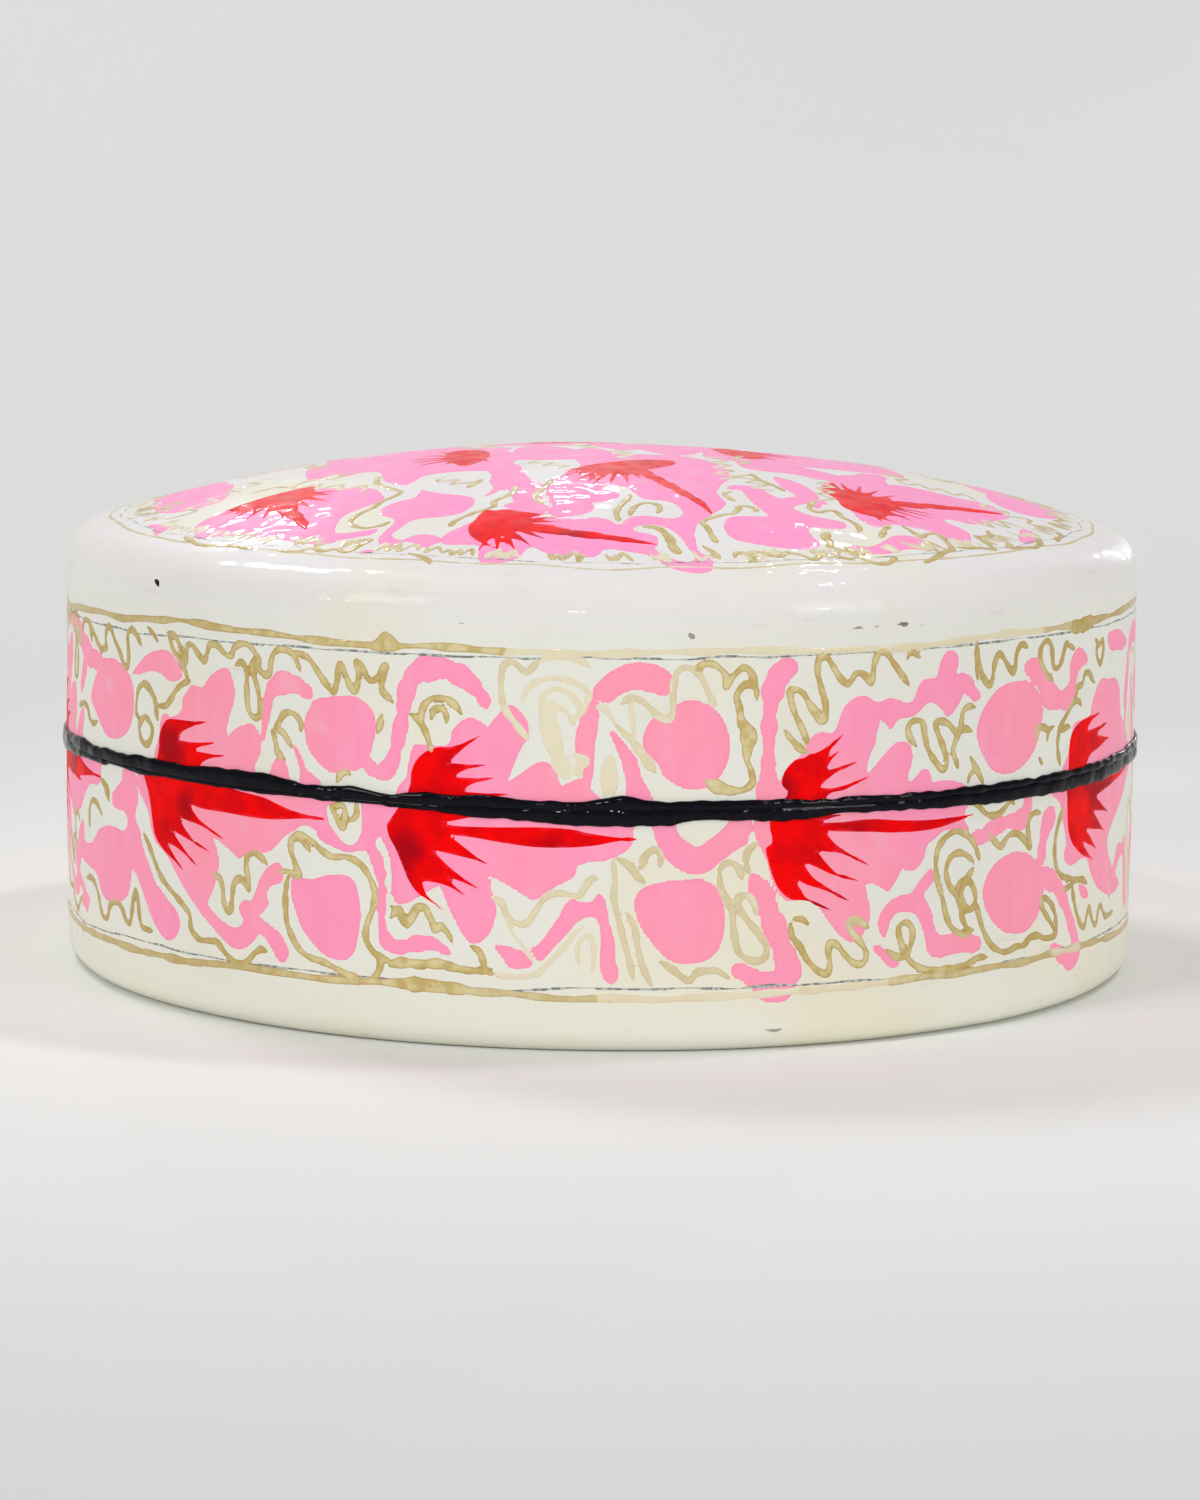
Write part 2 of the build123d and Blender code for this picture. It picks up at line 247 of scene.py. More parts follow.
FLOWER_C = {
    "pink": [
        Stroke([(-20.3, 24.6, 1.2), (-19.9, 23.7, 1.4), (-19, 23.4, 1.5), (-18.1, 24.1, 1.5),
                (-17.6, 25.6, 1.4), (-17.2, 27.3, 1.4), (-16.9, 29.2, 1.5), (-16.5, 31, 1.7),
                (-15.6, 32.3, 2.0), (-14.2, 32.6, 2.1), (-12.8, 32.5, 2.0), (-11.3, 31.7, 1.7),
                (-10.1, 30.5, 1.4), (-9.6, 29.5, 1.0)], 1.5, 0),
        Blob([(-16.5, 20.9), (-16.6, 23.5), (-16.5, 24.5), (-16, 26), (-15, 26.1), (-13, 26.2), (-12.6, 27.4),
              (-11.6, 28.4), (-10.8, 28.6), (-10.1, 28.3), (-9.5, 27.9, T), (-8.6, 29), (-8, 29.7),
              (-7.2, 29.7), (-6.3, 28.8), (-5.9, 27.8), (-6, 27), (-6.5, 26.2), (-7.2, 24.6), (-7.7, 23.2, T),
              (-6.3, 24.3), (-5.2, 25), (-4.4, 25), (-3.5, 24), (-3.3, 23, T), (-2.2, 23.5), (-1.2, 23.8),
              (-0.7, 22.8), (-0.5, 20.9)]),
        Blob([(-18.2, 21), (2.9, 21), (2.9, 19.3), (3, 18.5), (2.6, 17.7), (1.8, 17.1), (0.6, 16.6),
              (-0.9, 16.4), (-1.7, 16.1), (-2, 15.2), (-2.8, 14.7), (-3.9, 14.1), (-4.8, 13.4), (-5.6, 13.1),
              (-6.4, 13.5), (-7.6, 14.2), (-9.3, 15.1, T), (-8.9, 13.5), (-8.6, 12.3), (-8.8, 11),
              (-9.4, 9.8), (-10.5, 9.1), (-11.2, 9.4), (-12, 10.5), (-12.8, 12), (-13.3, 13.2), (-13.7, 13.9),
              (-14.5, 13.5), (-15.5, 12.9), (-16.5, 12.3), (-17.5, 12.2), (-18, 13.2), (-18, 14.6),
              (-18.2, 16.2)]),
        Stroke([(-20, 17, 1.4), (-19.3, 15.8, 1.2), (-18.9, 14, 1.0), (-18.9, 12, 0.9), (-18.8, 10.3, 1.0),
                (-18.3, 8.9, 1.3), (-17.2, 8.5, 1.5), (-15.8, 8.9, 1.4), (-14.2, 9, 1.3),
                (-12.8, 8.3, 1.1)], 1.2, 0),
        Blob([(-8.9, 9.1), (-8.3, 9.3), (-7.2, 9.1), (-6.2, 8.7), (-5.5, 8), (-5.6, 7.4), (-6.8, 7.1),
              (-7.6, 7.3), (-8.2, 8.1)]),
    ],
    "red": [
        Blob([(-16.3, 20.9), (-16.25, 22.8), (-16.2, 23.6), (-15.8, 24.6), (-15, 25.4), (-13.8, 25.9),
              (-12.6, 26), (-10.7, 26.7, T), (-11.9, 25.6), (-12.9, 24.6, T), (-10.1, 24.5, T), (-11.6, 24),
              (-12.4, 23.4, T), (-9.4, 23.4, T), (-11, 22.8), (-11.6, 22.2, T), (-8.2, 22.1, T), (-10, 21.7),
              (-12, 20.9)]),
        Blob([(-17.1, 20.9, T), (-15, 21), (-13, 20.7), (-10.8, 20.1, T), (-12.8, 19.6), (-14.2, 19.5, T),
              (-12, 19.25), (-8, 19.3), (-5, 19.4), (-2.5, 19.3), (-1, 19), (1, 18.7), (3.2, 18.5, T),
              (1.5, 18.3), (-0.5, 17.9), (-3, 17.7), (-5.5, 17.7), (-8, 17.95), (-10.5, 18.3), (-13, 18.5, T),
              (-11.8, 17.7), (-9.9, 16.3, T), (-12, 16.7), (-14.2, 17.1, T), (-13, 15.9), (-10.7, 14.2, T),
              (-12.4, 14.7), (-13.2, 15, T), (-11.8, 13.6, T), (-13.4, 14.2), (-15.2, 14.4, T), (-14.8, 13.3),
              (-13.5, 12.1, T), (-15.3, 13.1), (-16.3, 14.2), (-17, 15.7), (-17.6, 17), (-18.2, 18),
              (-18.4, 18.9), (-18.2, 19.3), (-17.8, 19.9)]),
    ],
    "gilt": strokes(
        0.64, 0,
        [(-16.3, 28.6), (-15.6, 28.2), (-15, 27.3), (-14.6, 26.2), (-14.4, 25.6)],
        [(-15.3, 27.9), (-15.2, 29), (-14.7, 29.8), (-13.8, 30.1), (-12.8, 29.9), (-12.1, 29.3),
         (-11.8, 28.8)],
        [(-14.4, 28.3), (-14.2, 29), (-13.5, 29.2), (-13.1, 28.7), (-13.1, 28)],
        [(-18, 11), (-17.3, 11.8), (-16.8, 11), (-16.5, 10.4), (-16.1, 11), (-15.5, 12), (-14.8, 12),
         (-14.3, 11), (-14, 10.2), (-13.5, 10.6), (-12.8, 9.9), (-12.5, 9.3)],
        [(-18, 6.9, 0.9), (-17, 7.2, 0.9), (-15.5, 7.2, 0.9), (-13.5, 7.3, 0.9), (-12, 7, 0.9), (-11, 6.9),
         (-9.8, 6.9), (-9, 7.1)],
        [(-10.8, 9), (-10, 8.4), (-9.5, 7), (-8.8, 6.7)],
    ) + strokes(
        0.62, 0.6,
        [(-6.1, 26.9), (-7, 28), (-7.8, 29), (-8.3, 30.2), (-8.4, 31.8), (-8.2, 33), (-7.6, 33.4), (-7, 33.1),
         (-6.3, 32.5), (-5.7, 33), (-5.2, 33.5)],
        [(-9, 13.3), (-8.2, 12.8), (-7.8, 11.8), (-6.9, 11.1), (-6, 11.2), (-5.3, 12.2), (-4.5, 13.4),
         (-3.2, 13.8), (-1.7, 13.6), (-1.1, 14.4), (-0.5, 15.2), (-0.1, 15)],
    ) + strokes(
        0.55, 0.85,
        [(-5.2, 33.4), (-4.3, 33.8), (-2.8, 33.8), (-1.6, 33.5), (-0.8, 33)],
        [(-6.6, 29.9), (-6.2, 31), (-5.3, 31.8), (-3.8, 32.1), (-2.3, 31.8), (-1.3, 31.2), (-0.8, 30.8)],
        [(-4.7, 28.8), (-5, 29.8), (-4.6, 30.8), (-3.6, 31.2), (-2.5, 30.7), (-1.9, 29.9), (-1.7, 29.2)],
        [(-5, 29.3), (-4.9, 28), (-4.5, 26.7), (-4, 25.5), (-3.4, 24.5)],
        [(-4.3, 29.2), (-3.4, 29.6), (-2.7, 29), (-2.2, 28.2, 0.7)],
        [(-3.9, 27.5), (-3.7, 26.3), (-3.2, 25.2)],
        [(-2.2, 25.6, 0.8), (-1.3, 25.1, 1.0), (-2, 24.5, 0.6), (-1.6, 23.8, 0.8)],
        [(-2.4, 28.3, 0.7), (-2, 28.8, 0.5), (-1.5, 29.4, 0.7), (-1.1, 30.2, 0.5), (-0.9, 30.9, 0.9)],
        [(-8, 11.8, 0.4), (-7.2, 10.2, 0.4), (-6.3, 9.1, 0.4), (-5.4, 7.9, 0.4)],
        [(-9, 6.7), (-7.2, 6.5), (-5.2, 6.8), (-4.2, 7.8), (-3, 9), (-2, 10.3), (-1.2, 11)],
        [(-1.6, 7.8), (-1.7, 9.2), (-1.2, 10.1), (-0.5, 9.9), (-0.3, 8.5), (-0.4, 7.2)],
    ) + strokes(
        1.5, 1,
        [(-4.1, 29.9), (-4.3, 28.8), (-4.1, 27.4), (-3.7, 26), (-3.2, 24.7), (-2.7, 23.7, 0.9)],
    ),
}
DISC_C = {
    "pink": [
        Blob([(-0.7, 31.2), (0.3, 32.4), (1.8, 33.3), (3.2, 33.6), (4.6, 33.4), (5.7, 32.8), (6.1, 32.2),
              (6, 31.2), (5.4, 30.6), (4.2, 30.9), (3, 31.1), (1.8, 30.8), (0.8, 30), (-0.2, 30.3)]),
        Blob([(-0.4, 30.4), (-1.2, 30.5), (-1.5, 29.7), (-1.8, 28.5), (-2.2, 27), (-2.1, 25.6), (-1.5, 24.6),
              (-1.5, 23.6), (-2, 22.9), (-2.2, 20.9), (-0.6, 20.9), (-0.7, 22.6), (-0.5, 24), (-0.4, 25.2),
              (-0.3, 26.8), (-0.1, 28.2), (0, 29.3)]),
        Blob([(0.7, 27.5), (1.2, 27.7), (2.2, 26.6), (3.1, 25.5), (3.4, 24.6), (3.7, 23.6), (4.5, 22.2),
              (4.7, 20.9), (2.3, 20.9), (2.2, 23), (2, 24), (1.6, 25.4), (1, 26.8)]),
        Blob([(3.5, 26.8), (3.8, 28), (4.5, 28.9), (5.1, 29), (5.6, 28.5), (6, 28.8), (6.3, 29.9),
              (7.5, 30.4), (8.9, 30.1), (10, 29.3), (10.8, 28), (11.1, 26.5), (10.9, 25), (10.2, 23.7),
              (9.2, 22.9), (8, 22.6), (6.5, 23), (5.2, 24), (4.9, 24.8), (3.9, 25.7)]),
        Blob([(4.2, 20.9), (4.8, 18.2), (5.6, 16.8), (6.8, 15.8), (8, 15.4), (9.3, 15.6), (10.6, 16.6),
              (12, 17.6), (12.8, 18.2), (12.9, 20.9), (11.5, 20.6), (10.6, 19.5), (9.5, 18.6), (8.4, 17.9),
              (7.6, 18.3), (6.8, 19), (6.1, 20.6)]),
        Blob([(3.5, 14.2), (4.2, 14.6), (5, 14.8), (6, 15), (7.5, 15), (9, 15), (10, 14.5), (10.6, 13.4),
              (10.9, 12), (10.8, 10.5), (10.4, 9.1), (9.6, 8.2), (8.5, 7.8), (7.2, 7.7), (6, 8.1), (5, 9),
              (4.2, 10), (3.4, 11.2), (3, 12.6), (3.1, 13.6)]),
        Blob([(0, 13.9), (0.5, 13.6), (0.8, 12.8), (1, 11.5), (1.5, 9.8), (1.6, 8.2), (1.9, 7), (1.6, 6.2),
              (1, 6), (0.4, 6.6), (0.1, 8), (0.2, 9.6), (0, 11.1), (-0.4, 11.7), (-1, 11.7), (-1.8, 11.2),
              (-2.8, 10), (-3.9, 8.8), (-4.5, 8.1), (-5, 7.9), (-5.6, 8.6), (-5.7, 9), (-5, 9.5),
              (-4.2, 10.6), (-3.4, 11.8), (-2.9, 12.8), (-2.3, 13.4), (-1.4, 13.2), (-0.6, 13.2)]),
    ],
    "red": [],
    "gilt": strokes(
        0.64, 0,
        [(8, 32.4), (8.4, 33.2), (9.2, 33.4), (10, 33), (10.6, 32.3), (10.6, 31.4), (10.9, 31.9),
         (11.6, 32.7), (12.3, 33), (12.9, 32.3), (13.2, 31.2), (13.3, 30.3)],
        [(11.4, 30), (11.7, 31), (12.4, 31.6), (13, 31.2)],
        [(11.5, 30.8), (11.8, 29.5), (12, 28.4, 0.9), (12.6, 27.5, 1.6), (12.6, 26.5, 1.1), (12.5, 25.2),
         (12.9, 24.2), (13, 23.2), (12.2, 22.6), (11, 22.6, 1), (10, 22.9, 1.1), (9, 23.4)],
    ) + strokes(
        0.68, 0.5,
        [(1.6, 16.9), (2.6, 16.2), (3.2, 15.4), (4, 14.7)],
        [(3.6, 16), (3.9, 17), (4.6, 17.6), (5.2, 17.2), (5.2, 16.2)],
        [(5.3, 8), (6, 7.6), (6.9, 6.9), (7.8, 6.3), (8.4, 7), (9.4, 7.2), (10.3, 7.1), (11.2, 6.5)],
        [(13.5, 18), (12.7, 17.3), (12.6, 16.3), (12.9, 15.5)],
        [(10.2, 15.8), (10.9, 16.4), (11.8, 16.1), (12.3, 15)],
        [(10.3, 15.6), (10.4, 14.4), (10.9, 13.3), (11.4, 12.2), (11.6, 10.5), (12, 8.8), (13, 8), (14.2, 8),
         (14.5, 9), (13.8, 10.2), (12.8, 11.4), (12, 12.6), (12, 13.4), (12.8, 13.5), (13.3, 12.9),
         (13.5, 12)],
    ) + strokes(
        0.62, 0.6,
        [(1.8, 30), (2.5, 30.5), (3.4, 30.3), (4.2, 29.6), (5, 28.9), (5.8, 28.7), (6.1, 29.6), (6.1, 31),
         (6.3, 32.4), (6.8, 33), (7.5, 33), (8.2, 32.6), (8.8, 31.6), (9.3, 30.5), (9.7, 29.8)],
        [(1.3, 28.2), (2, 27.5), (2.8, 26.7), (3.5, 25.8, 0.8), (4.2, 24.8, 1.1), (4.7, 24.2, 0.6)],
        [(1.2, 16.6), (1.4, 15), (1.3, 13.5), (1.7, 11.8), (2.2, 9.8), (2.7, 8), (3, 6.6)],
        [(2.4, 12.2), (3.1, 10.9), (3.4, 9.2), (3.9, 7.4), (4.6, 5.9)],
    ) + strokes(
        0.55, 0.85,
        [(-0.2, 29.7, 1.1), (0.3, 29.6, 0.8), (0.8, 29, 0.5), (1.3, 28.2, 0.5)],
        [(2.6, 30.3), (2.6, 29.2), (2.8, 28), (2.9, 27)],
        [(0.5, 22.1, 0.8), (0.5, 24, 0.9), (0.9, 25.4, 0.7), (1.1, 24.3, 0.9), (1.1, 22.3, 0.8)],
    ),
}
FLOWER_D = {
    "pink": [
        Stroke([(16.5, 32.9, 1.7), (15.7, 32.8, 2.3), (14.9, 31.6, 2.1), (14.5, 29.8, 1.6), (14.4, 27.5, 1.4),
                (14.4, 25.2, 1.3), (14.4, 23.6, 1.6), (14.3, 22, 3.2)], 1.6, 0),
        Blob([(15, 20.9), (15.5, 23.5), (17.5, 25.8), (18, 26.8), (19, 27.4), (20.2, 27.3), (20.6, 27.9),
              (20.9, 28.8), (21.4, 29.6), (22.3, 30.2), (23.3, 30.3), (24.1, 29.9), (24.8, 29.6, T),
              (25.3, 29.9), (26.4, 29.9), (27.4, 29.5), (28.1, 29.6), (28.5, 30.4), (29, 31.2), (30, 31.4),
              (30.7, 31.3, T), (30.8, 32), (31.2, 33.1), (31.9, 33.7), (32.8, 33.5), (33.2, 32.7),
              (32.9, 31.6, T), (34, 31.6), (35, 31), (35.3, 30.3), (35.9, 29.8), (36, 29.2), (35, 28.9),
              (34.3, 29.5), (33.8, 29.7, T), (33.4, 29), (32.8, 28.3), (32.2, 27.9), (31.7, 28), (31.2, 28.6),
              (30.6, 29), (29.9, 29.2), (29.2, 28.8), (28.6, 28.3), (27.6, 28), (26.6, 27.9), (26.2, 27.3),
              (25.8, 27.1), (25.4, 27.6), (24.9, 28, T), (24.6, 27), (24.4, 26), (23.9, 25), (23.6, 23.5, T),
              (24.5, 24.4), (25.4, 25.3), (26.3, 26), (27.1, 26.2), (28, 25.8), (28.3, 24.9), (28.2, 24),
              (27.9, 23.2), (28, 22.6, T), (28.6, 23), (29.3, 23.6), (30, 23.5), (30.3, 22.9), (30.5, 22.4),
              (31.5, 22.5), (33, 22.3), (34.3, 21.8), (34.5, 20.9)]),
        Stroke([(13.2, 15.2, 1.5), (14, 13.5, 2.0), (14.8, 11.8, 2.1), (15.5, 10, 2.0), (16.2, 8.2, 2.1),
                (16.5, 6.5, 2.4), (15.6, 5.4, 2.6), (14.2, 5.9, 2.1), (12.8, 6.8, 1.7),
                (11.6, 7.3, 1.0)], 2, 0),
        Blob([(14.5, 21), (34.2, 21), (34.4, 19.6), (34.4, 18.6), (34.9, 18), (34.8, 17.2), (34, 17.8),
              (33, 18), (31.7, 17.9), (30.8, 17.3), (30.1, 17), (29.9, 16.4), (29.6, 15.6), (28.9, 14.9),
              (28.3, 14.7), (27.6, 14.9), (27.3, 15.1, T), (27, 14.3), (26.4, 13.6), (25.9, 13.1),
              (25.2, 13.5), (24.4, 13.9), (23.7, 14, T), (24, 12.8), (24.3, 11.5), (24, 10.3), (23.3, 9.3),
              (22.4, 9), (21.5, 9.4), (20.6, 10.3), (19.9, 11.2), (19.3, 12), (18.8, 12.5), (18, 12.9),
              (16.5, 12.9), (15.8, 13.2), (15, 14.5), (14.5, 16)]),
        Blob([(25.6, 9), (24.9, 10.3), (25.2, 11.4), (26, 12.3), (27.2, 12.8), (28.3, 12.9), (28.9, 13.6),
              (29.7, 14.4), (30.5, 14.9), (30.9, 14.3), (30.8, 13.6), (30.2, 13), (29.8, 12.6), (30.3, 11.8),
              (30.8, 10.9), (31, 10), (31.4, 9.2), (32.2, 8.9), (33.5, 9), (34.5, 8.8), (36.2, 8.4),
              (36.7, 7.8), (36.5, 7.1), (35.6, 6.8), (34.2, 7), (32.8, 6.9), (31.6, 6.8), (30.6, 7.1),
              (30.1, 7.8), (29.9, 8.8), (29.4, 10), (28.8, 10.9), (27.8, 11.2), (27, 11.2), (26.4, 10.7),
              (26.1, 9.8)]),
        Blob([(24.6, 8.6), (25.3, 8.6), (26, 8), (26.6, 7.4), (27.3, 7), (27.3, 6.6), (26.5, 6.4),
              (25.7, 6.9), (25.1, 7.6), (24.6, 8)]),
    ],
    "red": [
        Blob([(15.5, 20.9), (16.2, 22.2), (15.8, 22.7), (15.6, 23.2), (15.9, 24.2), (16.7, 25), (17.6, 25.2),
              (18.1, 25.5), (19, 25.7), (20.8, 26.7, T), (20.1, 25.9), (19.7, 25.1, T), (20.5, 25.4, T),
              (19.9, 24.6), (19.6, 24, T), (22.2, 24.5, T), (20.6, 23.8), (19.7, 23.2), (19, 22.6, T),
              (20.5, 22.5), (23.3, 23.1, T), (21.5, 22.3), (20, 22), (19, 20.9)]),
        Blob([(14.6, 20.9, T), (15.5, 21), (18, 20.6), (20.8, 20.1, T), (19.8, 19.8), (18.5, 19.6, T),
              (21, 19.5), (24, 19.6), (27, 19.3), (30, 19.1), (33, 19.1), (35.2, 19.1, T), (33.5, 18.7),
              (31, 18.3), (28.5, 18.2), (26, 18.3), (24, 18.5), (21, 18.7), (19.7, 18.9, T), (20.3, 18),
              (21.3, 17.2), (23.4, 15.9, T), (21.2, 16.8), (20, 17), (18.9, 17.2, T), (19.8, 16.1), (21, 15),
              (22.4, 14.5, T), (20.5, 15), (19, 15.7), (17.6, 16.3, T), (18.5, 15), (19.6, 14.2),
              (21.6, 12.9, T), (19.5, 13.8), (18, 14.3), (16.7, 15.1, T), (17.5, 13.9), (18.1, 13.1),
              (19.8, 12.2, T), (18, 12.9), (16.6, 13.1), (15.6, 13.9), (15, 15), (14.6, 16.2), (14.3, 17.5),
              (14.8, 18), (14.8, 18.6), (14.6, 19.4)]),
    ],
    "gilt": strokes(
        0.64, 0,
        [(15.8, 27.6), (16.5, 26.7), (17.2, 26), (17.8, 25.6)],
        [(17.9, 26.5), (17.3, 27.8), (16.5, 29.5), (16.3, 31), (17.3, 30.8), (18, 29.8), (19, 28.5, 1),
         (19.4, 28.6, 1), (19.5, 29.6), (19.1, 31), (18.7, 32.5), (18.9, 33.7), (19.6, 33.6), (20.2, 32.8),
         (20.8, 31.9), (21.5, 31.3), (21.9, 31.6), (22.4, 32.2), (23.2, 32), (23.8, 31.3), (24, 31.6),
         (24.1, 32.7), (24.5, 33.8), (25.2, 33.9), (26, 33), (26.9, 31.9), (27.7, 30.9)],
        [(27.5, 33.2), (28, 33.8), (28.8, 33.2)],
        [(35.2, 33.8), (35.3, 32.5), (35.5, 30.9)],
        [(28.6, 25.6), (27.9, 26.4), (27.7, 27.3), (28.3, 27.8), (29.2, 27.6), (29.5, 26.5), (29.9, 25.2),
         (30.8, 24), (31.6, 23.3), (32, 23.9), (31.6, 25.2), (31, 26.4), (30.6, 27.4), (31.2, 27.6),
         (32.2, 27.2), (33, 26.5), (34, 26.7), (34.9, 26.4)],
        [(35.2, 28.5), (34.5, 28.6), (33.8, 28.2), (33.5, 26.8), (33, 25.8), (32.7, 24.9), (33.1, 23.9),
         (33.3, 23.4)],
        [(34.8, 24.2), (35.5, 23.2), (36.2, 22.2), (36.5, 21.7)],
        [(35.4, 23), (34.8, 22.6), (34.6, 22)],
        [(16.9, 11.4), (17.7, 11.3), (18.2, 10.9)],
        [(16.6, 11), (16.8, 9.9), (17.5, 9), (18.2, 7.8), (19.2, 6.8), (20.1, 6.4), (20.4, 7.2), (20.2, 8.3),
         (20.3, 9.1), (21, 8.9), (21.8, 8), (22.7, 7.2), (23.6, 7.1), (23.9, 7.9), (23.5, 8.7), (22.9, 9.4),
         (22.3, 10.1), (22.1, 10.9), (22.7, 11), (23.5, 10.6), (24, 10.2)],
        [(25.9, 8.1), (27, 7.4), (27.9, 7.4), (28.5, 8.4), (28.6, 9.6), (28, 10.3), (27.2, 10.1), (27.2, 9.2),
         (27.7, 8), (28.3, 7), (29.5, 6.2), (31, 5.9), (33, 5.8), (35, 6), (36.3, 6.4), (37.4, 6.3)],
    ),
}
DISC_D = {
    "pink": [
        Blob([(37.8, 29.7), (39, 30.2), (40.8, 30.4), (42.3, 30.2), (43.4, 29.6), (44.2, 28.6), (44.6, 27.2),
              (44.4, 25.8), (43.8, 24.4), (42.7, 23.2), (41.2, 22.4), (39.4, 22.2), (37.8, 22.6),
              (36.8, 23.5), (36, 24.6), (35.5, 25.9), (35.7, 27.3), (36.6, 28.7)]),
        Stroke([(35.3, 17.2, 1.2), (36.6, 17, 1.7), (38.2, 17.7, 1.6), (40, 18, 1.5), (41.6, 18, 1.8),
                (42.6, 19, 1.5), (42.6, 20.9, 1.6)], 1.5, 0),
        Blob([(36.6, 12), (37, 13.3), (38, 14.4), (39.5, 15.1), (41, 15.3), (42.6, 15), (43.9, 14.2),
              (44.9, 13), (45.2, 11.5), (44.9, 10), (44, 8.8), (42.8, 8), (41.2, 7.9), (39.5, 8.2), (38, 9.3),
              (37, 10.6)]),
    ],
    "red": [],
    "gilt": strokes(
        0.64, 0,
        [(35.2, 33.9), (35.6, 32.2), (36.2, 31), (37, 30.2), (37.4, 30.8), (37.6, 32), (38, 32.9),
         (38.6, 32.7), (39.3, 31.9), (40.1, 31.1), (40.4, 31.6), (40.6, 32.8), (41.2, 33.5), (42.1, 33.2)],
        [(35.2, 20.3), (36.2, 19.6), (37.2, 18.9), (38.4, 18.8), (39.5, 19.3), (40.2, 19.9), (40.7, 19.5)],
        [(37.5, 17.1), (38.2, 16.4), (39, 15.9), (39.7, 16.6), (40.6, 16.9), (41.6, 16.6), (42.3, 15.9),
         (43, 15.4), (42.7, 16.8), (42.8, 17.9), (43.6, 18.4), (44.5, 18.3)],
        [(36.2, 15.1), (35.7, 16.2), (34.7, 17.3), (33.4, 17.8), (32.2, 17.5), (31.2, 16.5), (31, 15),
         (31.3, 13.5), (31.9, 12), (32.3, 10.6), (33, 9.4), (34.2, 8.7), (35.3, 8.8)],
        [(35.5, 14.9), (34.6, 15.6), (33.5, 15.9), (32.6, 15.5), (32.2, 14.4), (32.6, 13.2), (33.4, 12.2),
         (34, 11.2), (34.3, 10), (34.9, 9.1), (35.6, 8.9)],
        [(33.7, 12.4), (33.8, 13.2), (34.6, 13.5), (35.3, 13), (35.8, 11.9), (35.6, 11), (34.9, 10.8),
         (34.3, 11.5), (34.1, 12.4), (34.6, 13.4), (35.5, 14.4)],
        [(35.9, 11.2), (36.3, 10), (36.9, 8.6), (37.8, 7.4), (38.9, 6.7), (40, 6.5), (41.2, 6.8), (42.5, 6.8),
         (43.3, 7.4), (44.5, 7.2)],
    ),
}
